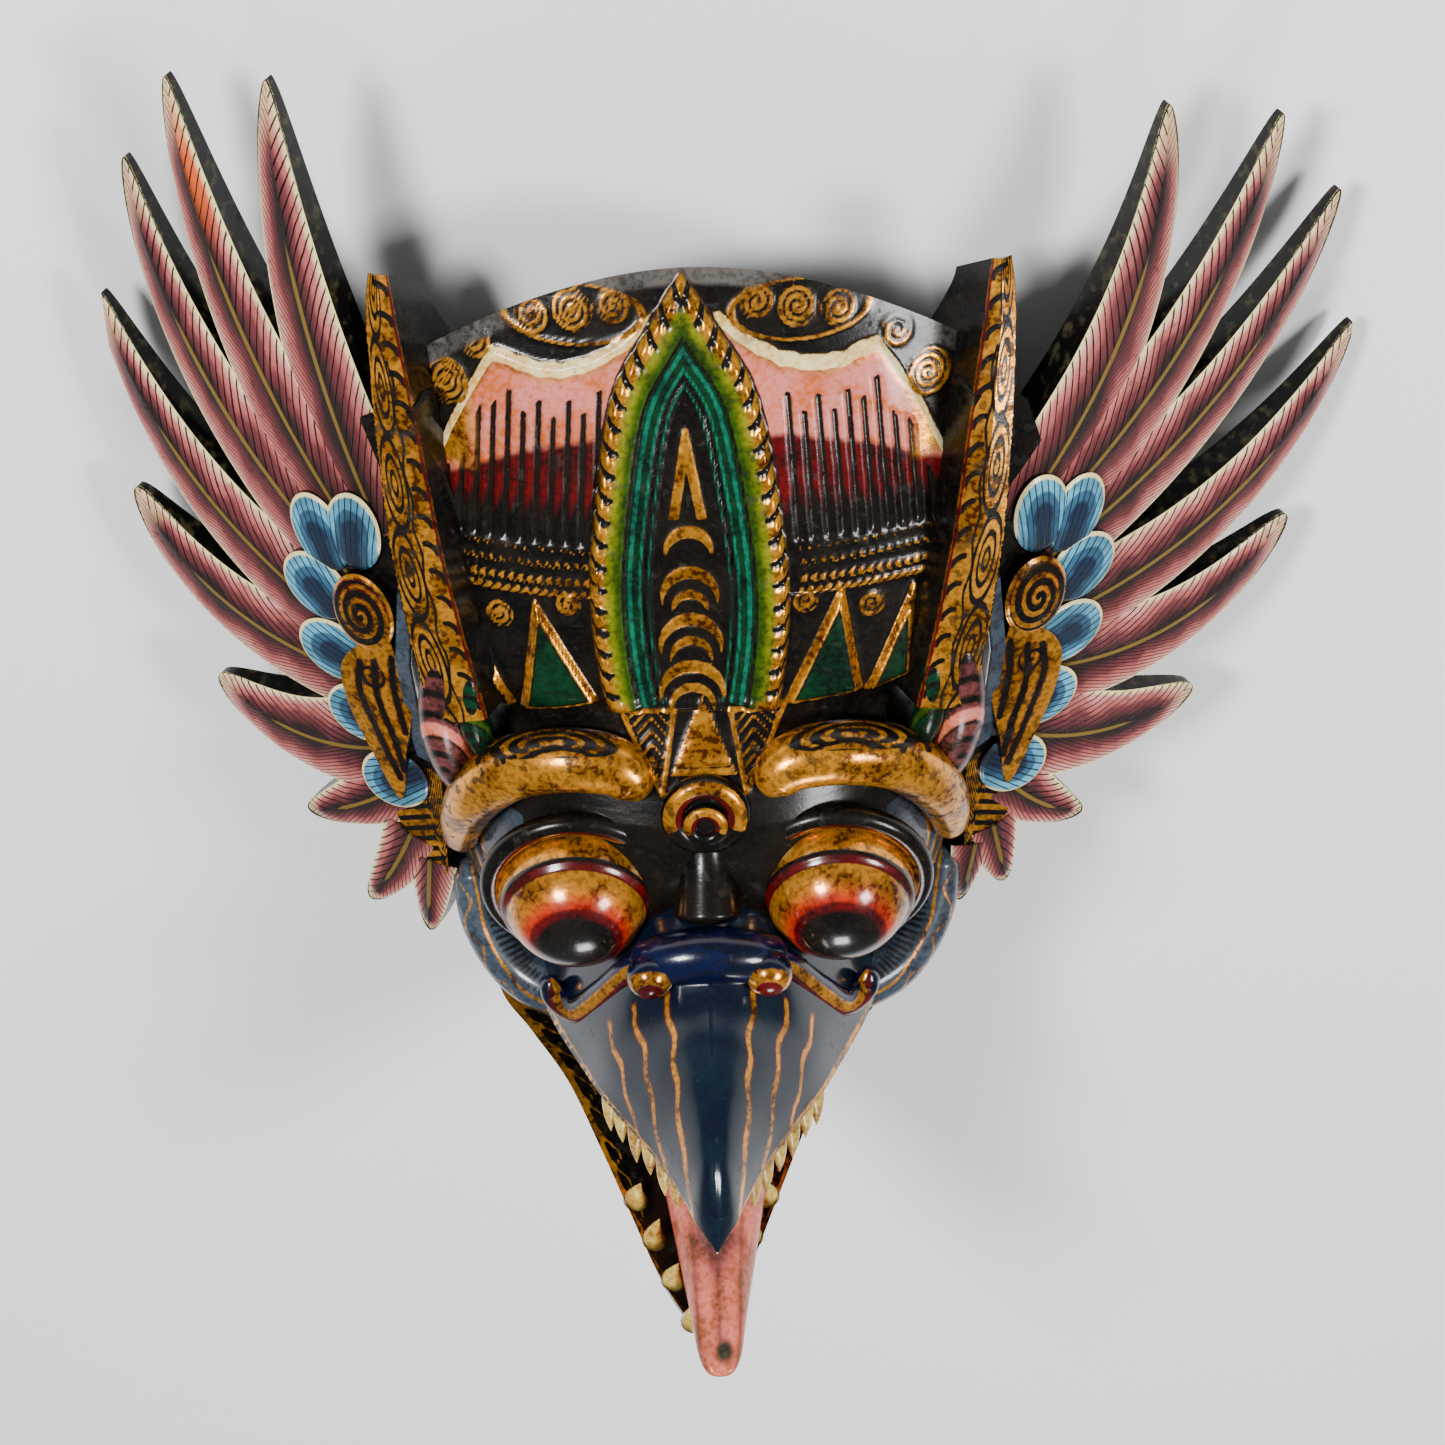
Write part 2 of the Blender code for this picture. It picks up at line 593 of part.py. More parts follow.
def build_head():
    """The head, carved from one block, with its hollow back."""
    head = head_shell()
    parts = [central_leaf(), upper_beak(), lower_jaw(), tongue(), roll("bridge", BRIDGE_LINE, 1),
             roll("cere", CERE_LINE, 1),
             ring_roll("forehead_disc", FOREHEAD_DISC, FOREHEAD_DISC_RADIUS, FOREHEAD_DISC_THICK,
                       FOREHEAD_DISC_TILT, 14)]
    for side in (-1, 1):
        parts += crown_parts(side) + face_parts(side) + teeth(side)
    boolean(head, parts, "UNION")
    grooves = [flute(side, (i + 0.5) / FLUTES) for side in (-1, 1) for i in range(FLUTES)]
    boolean(head, grooves + [head_hollow()], "DIFFERENCE")
    return head


def wing_point(side, sweep, out, y, proud):
    """Place on a wing: distance out along it, height, and how far it stands proud of its face."""
    base = Vector((WING_ROOT_HALF, y, WING_ROOT_DEPTH))
    along = Vector((math.cos(sweep), 0, -math.sin(sweep)))
    normal = Vector((math.sin(sweep), 0, math.cos(sweep)))
    place = base + along * out + normal * proud
    return Vector((side * place.x, place.y, place.z))


def feather(side, sweep, shape, order):
    """One carved feather, bowed and tapering to its tip."""
    reach, angle, bow, half, base_out, base_up = shape
    turn = math.radians(angle)
    tip = Vector((math.cos(turn), math.sin(turn))) * reach * MM
    base = Vector((base_out, base_up)) * MM
    span = tip - base
    bow_side = Vector((span.y, -span.x)).normalized()
    bend = base + span * 0.5 + bow_side * span.length * bow
    taper = FEATHER_TAPER if order < LONG_FEATHERS else SHORT_TAPER
    root_back = -WING_THICK + 0.15 * MM * (order % 3)
    rise = 0.25 * MM * (order % 2)
    rings = []
    for k in range(FEATHER_STEPS):
        t = k / FEATHER_STEPS
        centre = base * (1 - t) ** 2 + bend * 2 * t * (1 - t) + tip * t * t
        along = ((bend - base) * (1 - t) + (tip - bend) * t).normalized()
        across = Vector((-along.y, along.x))
        width = half * MM * (1 - t) ** taper
        back = -FEATHER_TIP_THICK + (root_back + FEATHER_TIP_THICK) * (1 - t ** 2)
        edges = (centre + across * width, centre, centre - across * width)
        ring = [wing_point(side, sweep, edges[0].x, edges[0].y, rise),
                wing_point(side, sweep, edges[1].x, edges[1].y, FEATHER_RIDGE + rise),
                wing_point(side, sweep, edges[2].x, edges[2].y, rise),
                wing_point(side, sweep, edges[2].x, edges[2].y, back),
                wing_point(side, sweep, edges[0].x, edges[0].y, back)]
        rings.append(ring)
    end = [wing_point(side, sweep, tip.x, tip.y, -1 * MM), wing_point(side, sweep, tip.x, tip.y, -FEATHER_TIP_THICK)]
    return feather_body(rings, end)


def feather_body(rings, end):
    """Close a feather's rings with a short upright edge at its tip."""
    bm = bmesh.new()
    rows = [[bm.verts.new(point) for point in ring] for ring in rings]
    for first, second in zip(rows, rows[1:]):
        for i in range(5):
            bm.faces.new((first[i], first[(i + 1) % 5], second[(i + 1) % 5], second[i]))
    bm.faces.new(rows[0])
    top, low = (bm.verts.new(point) for point in end)
    last = rows[-1]
    bm.faces.new((last[0], last[1], top))
    bm.faces.new((last[1], last[2], top))
    bm.faces.new((last[2], last[3], low, top))
    bm.faces.new((last[3], last[4], low))
    bm.faces.new((last[4], last[0], top, low))
    return new_object("feather", bm)


def wing_plate(name, side, sweep, outline, low, high, crown=0.0):
    """Plate on a wing with an outline in the wing's plane, its middle raised by crown."""
    bottom = [wing_point(side, sweep, x * MM, y * MM, low) for x, y in outline]
    top = [wing_point(side, sweep, x * MM, y * MM, high) for x, y in outline]
    middle = Vector((sum(p[0] for p in outline), sum(p[1] for p in outline))) / len(outline)
    peak = wing_point(side, sweep, middle.x * MM, middle.y * MM, high + crown)
    return loft(name, [bottom, top], peak if crown else None)


def petal(side, sweep, centre, order):
    """Rounded petal that points away from the ear."""
    middle = Vector(centre[:2])
    turn_in = math.radians(180 - centre[2])
    along = Vector((math.cos(turn_in), math.sin(turn_in)))
    across = Vector((-along.y, along.x))
    outline = []
    for k in range(PETAL_SIDES):
        turn = 2 * math.pi * k / PETAL_SIDES
        point = middle + (along * math.cos(turn) * PETAL_HALF_LENGTH
                          + across * math.sin(turn) * PETAL_HALF_WIDTH) / MM
        outline.append((point.x, point.y))
    top = PETAL_PROUD - LAP_STEP * (order % 2) - PETAL_CROWN
    return wing_plate("petal", side, sweep, outline, -PETAL_FOOT, top, PETAL_CROWN)


def build_wing(name, side, sweep, feathers):
    """One wing: a fan of feathers with petals and a carved ear at its root."""
    wing = wing_plate(name, side, sweep, ROOT_PLATE, -WING_THICK - 0.2 * MM, 1.0 * MM)
    parts = [feather(side, sweep, shape, order) for order, shape in enumerate(feathers)]
    parts += [petal(side, sweep, centre, order) for order, centre in enumerate(PETALS)]
    disc = []
    for k in range(16):
        turn = 2 * math.pi * k / 16
        disc.append(((EAR_DISC.x + EAR_DISC_HALF_WIDTH * math.cos(turn)) / MM,
                     (EAR_DISC.y + EAR_DISC_HALF_HEIGHT * math.sin(turn)) / MM))
    parts.append(wing_plate("ear_disc", side, sweep, disc, -EAR_FOOT, EAR_PROUD - EAR_CROWN, EAR_CROWN))
    leaf_top = EAR_PROUD - EAR_CROWN - LAP_STEP
    parts.append(wing_plate("ear_leaf", side, sweep, EAR_LEAF, -EAR_FOOT + LAP_STEP, leaf_top, EAR_CROWN))
    boolean(wing, parts, "UNION")
    seat = slope_back(plate("seat", head_outline(-FIT_GAP), -30 * MM, 200 * MM), 0, CROWN_TOP_DEPTH)
    beside = [blade(side, FIT_GAP), roll("brow", BROW_LINE, side, grow=FIT_GAP),
              roll("cheek", CHEEK_LINE, side, 6, FIT_GAP)]
    return boolean(wing, [seat] + beside, "DIFFERENCE")


def place(items):
    """Shift everything so that the origin is under the middle of the mask."""
    bpy.context.view_layer.update()
    corners = [vert.co for item in items for vert in item.data.vertices]
    low = Vector(min(c[i] for c in corners) for i in range(3))
    high = Vector(max(c[i] for c in corners) for i in range(3))
    shift = Vector((-(low.x + high.x) / 2, -(low.y + high.y) / 2, -low.z))
    for item in items:
        for vert in item.data.vertices:
            vert.co += shift
    print("origin shift in mm", [round(v / MM, 3) for v in shift])


def main():
    """Build the mask."""
    clear_scene()
    parts = bpy.data.collections.new("garuda_mask")
    bpy.context.scene.collection.children.link(parts)
    head = build_head()
    left = build_wing("wing_left", -1, LEFT_SWEEP, LEFT_FEATHERS)
    right = build_wing("wing_right", 1, RIGHT_SWEEP, RIGHT_FEATHERS)
    head_paint = material("head_paint", HEAD_PAINT)
    wing_paint = material("wing_paint", WING_PAINT)
    for item, paint in ((head, head_paint), (left, wing_paint), (right, wing_paint)):
        item.data.materials.clear()
        item.data.materials.append(paint)
        bpy.context.scene.collection.objects.unlink(item)
        parts.objects.link(item)
    place((head, left, right))


main()
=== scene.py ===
"""Painted garuda mask lying on its open back, seen from above its beak.

Pieces are laid out in the mask's own millimetres: X to the viewer's right, Y to the crown, Z out of the
face. A painted area is a number on each vertex: the depth inside that area, less than 0 outside it.
"""

import logging
import math
from dataclasses import dataclass
from enum import Enum
from typing import Callable, Sequence

import bmesh
import bpy
import numpy as np
from mathutils import Matrix, Vector


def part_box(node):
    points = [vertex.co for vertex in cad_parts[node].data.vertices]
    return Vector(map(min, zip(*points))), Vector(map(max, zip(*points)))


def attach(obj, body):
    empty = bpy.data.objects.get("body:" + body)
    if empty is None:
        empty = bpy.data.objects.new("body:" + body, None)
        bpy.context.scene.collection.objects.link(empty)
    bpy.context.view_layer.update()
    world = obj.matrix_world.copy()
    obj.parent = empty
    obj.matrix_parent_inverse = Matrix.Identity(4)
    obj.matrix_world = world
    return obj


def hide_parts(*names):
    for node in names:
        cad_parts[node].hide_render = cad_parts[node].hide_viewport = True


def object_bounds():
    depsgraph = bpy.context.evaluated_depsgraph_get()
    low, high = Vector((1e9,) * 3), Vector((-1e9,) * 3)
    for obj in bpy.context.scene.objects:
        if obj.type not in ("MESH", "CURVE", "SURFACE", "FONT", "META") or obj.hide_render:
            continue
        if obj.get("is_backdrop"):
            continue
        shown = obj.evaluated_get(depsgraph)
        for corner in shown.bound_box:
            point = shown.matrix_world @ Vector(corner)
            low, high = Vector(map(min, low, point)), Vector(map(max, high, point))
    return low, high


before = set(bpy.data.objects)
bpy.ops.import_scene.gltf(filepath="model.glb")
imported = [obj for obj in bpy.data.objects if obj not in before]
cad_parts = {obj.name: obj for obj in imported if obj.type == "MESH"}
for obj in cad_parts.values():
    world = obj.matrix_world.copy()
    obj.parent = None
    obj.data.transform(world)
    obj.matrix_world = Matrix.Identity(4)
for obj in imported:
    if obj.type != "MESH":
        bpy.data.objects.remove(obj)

logging.basicConfig(level=logging.INFO, format="%(message)s")
LOG = logging.getLogger("garuda_mask")

Array = np.ndarray
Line = Sequence[Sequence[float]]
Areas = dict[str, Array | float]
Place = Callable[[Array, Array], Array]
Marks = Callable[["Body", Array], Areas]

MM = 0.001
GOLD_DUST = 0.65
NOWHERE = -9.0
BARE = -1.0


def linear(red: int, green: int, blue: int) -> tuple[float, float, float, float]:
    """Linear colour from a display colour.

    Args:
        red: red from 0 to 255.
        green: green from 0 to 255.
        blue: blue from 0 to 255.

    Returns:
        Linear red, green, blue and alpha.
    """
    parts = [c / 255 / 12.92 if c <= 10 else ((c / 255 + 0.055) / 1.055) ** 2.4 for c in (red, green, blue)]
    return (*parts, 1.0)


class Pigment(Enum):
    """Paints of the mask, each with its fresh and its worn shade."""

    BLACK = (linear(7, 6, 6), linear(24, 20, 15))
    GOLD = (linear(226, 152, 40), linear(84, 40, 4))
    CREAM = (linear(238, 222, 160), linear(206, 160, 80))
    PINK = (linear(212, 122, 112), linear(190, 92, 40))
    WINE = (linear(92, 7, 10), linear(40, 4, 5))
    GREEN = (linear(48, 78, 8), linear(22, 42, 6))
    YELLOW_GREEN = (linear(122, 122, 20), linear(62, 74, 10))
    DARK_GREEN = (linear(6, 50, 26), linear(3, 20, 12))
    TEAL = (linear(10, 104, 80), linear(4, 52, 42))
    BEAK = (linear(4, 14, 34), linear(6, 28, 38))
    BLUE = (linear(4, 15, 54), linear(4, 7, 18))
    SKY = (linear(96, 172, 204), linear(66, 122, 148))
    SLATE = (linear(52, 96, 126), linear(40, 70, 92))
    NAVY = (linear(26, 42, 64), linear(16, 22, 34))
    GREY_BLUE = (linear(66, 78, 92), linear(34, 42, 52))
    GREY_WOOD = (linear(88, 84, 80), linear(40, 37, 34))
    RED = (linear(186, 44, 10), linear(110, 16, 4))
    TONGUE = (linear(222, 112, 96), linear(150, 74, 40))
    IVORY = (linear(226, 196, 96), linear(150, 96, 30))
    ROSE_BROWN = (linear(104, 54, 52), linear(46, 20, 22))
    UNDERCOAT = (linear(20, 17, 11), linear(58, 54, 34))
    RAW_WOOD = (linear(120, 84, 50), linear(72, 48, 28))


def ease(share: Array) -> Array:
    """Smooth step from 0 to 1."""
    share = np.clip(share, 0.0, 1.0)
    return share * share * (3 - 2 * share)


def smooth_line(line: Line, steps: int) -> Array:
    """Points on a smooth curve through the given points.

    Args:
        line: points of any number of values each.
        steps: points made for each stretch.

    Returns:
        One row for each point of the curve.
    """
    points = np.array(line, float)
    ends = np.vstack([2 * points[0] - points[1], points, 2 * points[-1] - points[-2]])
    result = []
    for i in range(1, len(ends) - 2):
        before, start, end, after = ends[i - 1:i + 3]
        for k in range(steps):
            t = k / steps
            result.append(0.5 * (2 * start + (end - before) * t
                                 + (2 * before - 5 * start + 4 * end - after) * t * t
                                 + (3 * start - before - 3 * end + after) * t ** 3))
    result.append(points[-1])
    return np.array(result)


def along_line(line: Array, share: Array) -> Array:
    """Rows of a line read at shares from 0 to 1 of its rows."""
    place = np.clip(share, 0, 1) * (len(line) - 1)
    return np.stack([np.interp(place, np.arange(len(line)), line[:, i]) for i in range(line.shape[1])], -1)


def read(line: Line, place: Array, column: int = 1) -> Array:
    """One column of a table read at a place along its first column."""
    table = np.array(sorted(line), float)
    return np.interp(place, table[:, 0], table[:, column])


def nearest(x: Array, y: Array, line: Line, closed: bool = False) -> tuple[Array, Array]:
    """Distance to a line and how far along it the nearest point lies.

    Args:
        x: first coordinates.
        y: second coordinates.
        line: points of the line.
        closed: whether its end joins its start.

    Returns:
        Distances, and lengths along the line.
    """
    points = np.array(line, float)[:, :2]
    if closed:
        points = np.vstack([points, points[:1]])
    best = np.full(x.shape, 1e6)
    where = np.zeros(x.shape)
    run = 0.0
    for a, b in zip(points, points[1:]):
        step = b - a
        length = float(np.hypot(*step)) + 1e-9
        t = np.clip(((x - a[0]) * step[0] + (y - a[1]) * step[1]) / length ** 2, 0, 1)
        far = np.hypot(x - a[0] - t * step[0], y - a[1] - t * step[1])
        closer = far < best
        best = np.where(closer, far, best)
        where = np.where(closer, run + t * length, where)
        run += length
    return best, where


def within(x: Array, y: Array, outline: Line) -> Array:
    """Depth inside an outline, less than 0 outside it.

    Args:
        x: first coordinates.
        y: second coordinates.
        outline: corners of the outline.

    Returns:
        Depths inside the line or area.
    """
    far, _ = nearest(x, y, outline, True)
    points = np.array(outline, float)
    odd = np.zeros(x.shape, bool)
    for a, b in zip(points, np.roll(points, -1, 0)):
        spans = (a[1] > y) != (b[1] > y)
        cross = a[0] + (y - a[1]) / (b[1] - a[1] + 1e-12) * (b[0] - a[0])
        odd ^= spans & (x < cross)
    return np.where(odd, far, -far)


def spiral(x: Array, y: Array, centre: Sequence[float], radius: float, pitch: float,
           turn: float = 1.0) -> Array:
    """Depth inside the line of a flat spiral, for carved curls.

    Args:
        x: first coordinates.
        y: second coordinates.
        centre: its middle.
        radius: its radius in millimetres.
        pitch: distance between turns.
        turn: 1 or -1 for the way it turns.

    Returns:
        Depths inside the line or area.
    """
    dx, dy = x - centre[0], y - centre[1]
    far = np.hypot(dx, dy)
    phase = far / pitch - turn * np.arctan2(dy, dx) / (2 * math.pi)
    gap = np.abs(phase - np.round(phase)) * pitch
    return np.minimum(pitch * 0.24 - gap, radius - far)


def crescent(x: Array, y: Array, centre: Sequence[float], radius: float, thick: float) -> Array:
    """Depth inside a crescent with its horns down.

    Args:
        x: first coordinates.
        y: second coordinates.
        centre: its middle.
        radius: its radius in millimetres.
        thick: thickness at its middle.

    Returns:
        Depths inside the line or area.
    """
    outer = radius - np.hypot(x - centre[0], y - centre[1])
    inner = np.hypot(x - centre[0], y - centre[1] + thick) - radius * 0.94
    return np.minimum(outer, inner)


def join(*areas: Array) -> Array:
    """Depth inside any of the areas."""
    return np.maximum.reduce(areas)


def both(*areas: Array) -> Array:
    """Depth inside all of the areas."""
    return np.minimum.reduce(areas)


@dataclass(frozen=True)
class HeadSize:
    """Sizes of the carved head in millimetres."""

    crown_rise: float = 144
    crown_top_depth: float = 58
    forehead_depth: float = 105
    bulge: float = 4
    sag: float = 16
    crown_half: float = 84
    arch: float = 40
    dome_fall: float = 42
    face_half: float = 97
    face_round: float = 2.3
    blend_top: float = 10
    blend_length: float = 25
    wall: float = 13
    hollow_margin: float = 15
    face_line: tuple = ((-170, 15), (-160, 42), (-148, 72), (-135, 96), (-120, 114), (-100, 126),
                        (-75, 131), (-52, 129), (-35, 125), (-20, 116), (0, 105))
    side_line: tuple = ((-165, 8), (-161, 36), (-152, 65), (-136, 83), (-110, 91), (-70, 94),
                        (-20, 97), (20, 99), (55, 101), (84, 102), (110, 99))

    def crown(self, x: Array, y: Array) -> Array:
        """Depth of the crown's front.

        Args:
            x: places across the mask in millimetres.
            y: places up the mask in millimetres.

        Returns:
            Depths in millimetres.
        """
        share = np.clip(y / self.crown_rise, 0, 1)
        lean = (self.forehead_depth - self.crown_top_depth) * y / self.crown_rise
        sag = self.sag * (np.abs(x) / self.crown_half) ** 2.5
        return self.forehead_depth - lean + self.bulge * np.sin(math.pi * share) - sag

    def face(self, x: Array, y: Array) -> Array:
        """Depth of the face below the forehead."""
        side = np.minimum(np.abs(x) / self.face_half, 0.999)
        return read(self.face_line, y) * (1 - side ** self.face_round) ** (1 / self.face_round)

    def front(self, x: Array, y: Array) -> Array:
        """Depth of the head's front before its carving."""
        share = ease((self.blend_top - y) / self.blend_length)
        return self.crown(x, y) * (1 - share) + self.face(x, y) * share

    def slope(self, y: Array, z: Array) -> Array:
        """How far the crown's top has fallen back at a depth."""
        share = (self.crown_top_depth - z) / self.crown_top_depth
        return share * self.dome_fall * ease(y / self.crown_rise)


HEAD = HeadSize()


class Space:
    """Turns the mask's millimetres into the frame's metres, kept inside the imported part's box."""

    MARGIN = 1e-6
    TOP = 145

    def __init__(self) -> None:
        """Read the head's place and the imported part's box from the frame."""
        low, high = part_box("mask_head")
        self.shift = np.array([(low.x + high.x) / 2, high.y - self.TOP * MM, 0.0])
        boxes = [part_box(node) for node in ("mask_head", "wing_left", "wing_right")]
        self.low = np.min([list(box[0]) for box in boxes], 0) + self.MARGIN
        self.high = np.max([list(box[1]) for box in boxes], 0) - self.MARGIN

    def place(self, points: Array) -> Array:
        """Points in the frame, in metres."""
        return np.clip(points * MM + self.shift, self.low, self.high)


SPACE = Space()


class Wire:
    """A socket's value that Math nodes can be chained to with operators."""

    def __init__(self, graph: "Graph", socket: bpy.types.NodeSocket) -> None:
        """Keep a socket and the graph that it belongs to."""
        self.graph = graph
        self.socket = socket

    def math(self, operation: str, other: "Wire | float" = 0.0, clamp: bool = False) -> "Wire":
        """One Math node on this value."""
        settings = {"operation": operation, "use_clamp": clamp}
        return self.graph.node("ShaderNodeMath", settings, {0: self, 1: other})

    def __add__(self, other: "Wire | float") -> "Wire":
        """Sum, with the value on the left."""
        return self.math("ADD", other)

    def __sub__(self, other: "Wire | float") -> "Wire":
        """Difference, with the value on the left."""
        return self.math("SUBTRACT", other)

    def __mul__(self, other: "Wire | float") -> "Wire":
        """Product, with the value on the left."""
        return self.math("MULTIPLY", other)

    def __truediv__(self, other: "Wire | float") -> "Wire":
        """Quotient, with the value on the left."""
        return self.math("DIVIDE", other)

    def __radd__(self, other: float) -> "Wire":
        """Sum, with a number on the left."""
        return self.math("ADD", other)

    def __rsub__(self, other: float) -> "Wire":
        """Difference, with a number on the left, as in 1 - mask."""
        return self.graph.node("ShaderNodeMath", {"operation": "SUBTRACT"}, {0: other, 1: self})

    def __rmul__(self, other: float) -> "Wire":
        """Product, with a number on the left."""
        return self.math("MULTIPLY", other)

    def __rtruediv__(self, other: float) -> "Wire":
        """Quotient, with a number on the left."""
        return self.graph.node("ShaderNodeMath", {"operation": "DIVIDE"}, {0: other, 1: self})

    def from_stripe(self) -> "Wire":
        """Distance from the middle of stripes that are 1 apart."""
        return (self.graph.node("ShaderNodeMath", {"operation": "FRACT"}, {0: self}) - 0.5).math("ABSOLUTE")

    def clamped(self) -> "Wire":
        """The value kept between 0 and 1."""
        return self.math("ADD", 0.0, True)


class Graph:
    """Builds one material's node tree."""

    def __init__(self, name: str) -> None:
        """Start an empty node tree.

        Args:
            name: name of the material.
        """
        self.material = bpy.data.materials.new(name)
        self.material.use_nodes = True
        self.tree = self.material.node_tree
        self.tree.nodes.clear()

    def node(self, kind: str, settings: dict, inputs: dict, output: int | str = 0) -> Wire:
        """Add one node.

        Args:
            kind: node type.
            settings: its properties.
            inputs: values or wires for its sockets, by index or name.
            output: socket that is passed on.

        Returns:
            The chosen output.
        """
        item = self.tree.nodes.new(kind)
        for key, value in settings.items():
            setattr(item, key, value)
        for key, value in inputs.items():
            if isinstance(value, Wire):
                self.tree.links.new(value.socket, item.inputs[key])
            else:
                item.inputs[key].default_value = value
        return Wire(self, item.outputs[output])

    def attribute(self, name: str) -> Wire:
        """A number painted on the mesh."""
        return self.node("ShaderNodeAttribute", {"attribute_name": name}, {}, "Fac")

    def mix(self, factor: Wire | float, low: object, high: object) -> Wire:
        """Mix of two colours."""
        return self.node("ShaderNodeMix", {"data_type": "RGBA"}, {0: factor, 6: low, 7: high}, 2)

    def noise(self, scale: float, detail: float = 3.0, stretch: Sequence[float] = (1, 1, 1)) -> Wire:
        """Noise over the object's own coordinates, with its scale in cells per metre.

        Args:
            scale: cells per metre.
            detail: octaves of detail.
            stretch: scale of each axis.

        Returns:
            The noise.
        """
        spot = self.node("ShaderNodeTexCoord", {}, {}, "Object")
        if tuple(stretch) != (1, 1, 1):
            spot = self.node("ShaderNodeMapping", {}, {"Vector": spot, "Scale": stretch})
        return self.node("ShaderNodeTexNoise", {}, {"Vector": spot, "Scale": scale, "Detail": detail})

    def step(self, value: Wire, low: Wire | float, high: Wire | float) -> Wire:
        """0 below low, 1 above high, smooth between."""
        return self.node("ShaderNodeMapRange", {"interpolation_type": "SMOOTHSTEP"},
                         {"Value": value, "From Min": low, "From Max": high})

    def close(self, colour: Wire, finish: "Finish", relief: Wire,
              metal: Wire | float = 0.0) -> bpy.types.Material:
        """Lacquer over the colour, with its dirt, painted shade in its hollows, and its small scratches.

        Args:
            colour: painted colour.
            finish: how worn and how glossy it is.
            relief: height in millimetres for the bump.
            metal: how much of the paint is gold dust.

        Returns:
            The finished material.
        """
        cloud = self.noise(28.0, 4.0)
        fine = self.noise(900.0, 3.0)
        scratch = self.noise(260.0, 4.0, (0.25, 1.6, 1.0))
        chips = self.step(self.noise(210.0, 5.0), 0.665 - finish.wear * 0.1, 0.70 - finish.wear * 0.1)
        worn = self.mix(chips * finish.wear, colour, Pigment.UNDERCOAT.value[0])
        lines = self.step(scratch, 0.69, 0.73) * (0.5 * finish.wear)
        worn = self.mix(lines, worn, Pigment.UNDERCOAT.value[1])
        # Painted shade: hollows, seams and tucked parts, as each piece marks them, are darkened towards
        # dark brown, mixed with random patches of dirt.
        recess = self.attribute("recess")
        grime_and_shade = (recess * 0.75 + self.step(cloud, 0.5, 0.72) * 0.22).clamped()
        worn = self.mix(grime_and_shade * finish.grime_and_shade, worn, linear(26, 18, 12))
        rough = (cloud * 0.16 + fine * 0.12 + chips * 0.25 + (finish.rough - 0.12)).clamped()
        bump = self.node("ShaderNodeBump", {}, {"Strength": 0.55, "Distance": 0.0006,
                                                "Height": relief + fine * 0.12 + scratch * 0.2})
        shader = self.node("ShaderNodeBsdfPrincipled", {}, {
            "Base Color": worn, "Roughness": rough, "Normal": bump, "Coat Weight": finish.coat,
            "Metallic": metal, "Coat Roughness": 0.12, "Specular IOR Level": 0.22})
        self.node_output(shader)
        return self.material

    def node_output(self, shader: Wire) -> None:
        """Send the shader to the material's surface."""
        out = self.tree.nodes.new("ShaderNodeOutputMaterial")
        self.tree.links.new(shader.socket, out.inputs["Surface"])


@dataclass(frozen=True)
class Finish:
    """How worn, dirty and glossy a painted surface is, and how dark its painted shade is."""

    wear: float = 0.35
    # how dark the random dirt and the painted shade in hollows are, together
    grime_and_shade: float = 0.8
    rough: float = 0.22
    coat: float = 0.10


@dataclass(frozen=True)
class Layer:
    """One painted area, laid over those before it."""

    area: str
    pigment: Pigment
    edge: float = 0.3


@dataclass(frozen=True)
class LayeredPaint:
    """Paint made of a ground and areas laid on it in turn."""

    name: str
    ground: Pigment
    layers: tuple[Layer, ...]
    finish: Finish = Finish()

    def build(self) -> bpy.types.Material:
        """Make the material.

        Returns:
            The finished material.
        """
        graph = Graph(self.name)
        patch = graph.step(graph.noise(85.0, 5.0), 0.42, 0.62)
        speckle = graph.step(graph.noise(520.0, 4.0), 0.45, 0.60)
        tone = (patch * 0.6 + speckle * 0.45).clamped()
        wobble = graph.noise(420.0, 2.0) - 0.5
        colour = graph.mix(tone, self.ground.value[0], self.ground.value[1])
        relief = graph.attribute("recess") * -0.2
        metal: Wire | float = 0.0
        for layer in self.layers:
            depth = graph.attribute(layer.area) + wobble * 0.7
            mask = graph.step(depth, -layer.edge, layer.edge)
            shade = graph.mix(tone, layer.pigment.value[0], layer.pigment.value[1])
            colour = graph.mix(mask, colour, shade)
            share = GOLD_DUST if layer.pigment is Pigment.GOLD else 0.0
            metal = graph.node("ShaderNodeMix", {"data_type": "FLOAT"}, {0: mask, 2: metal, 3: share})
        return graph.close(colour, self.finish, relief, metal)


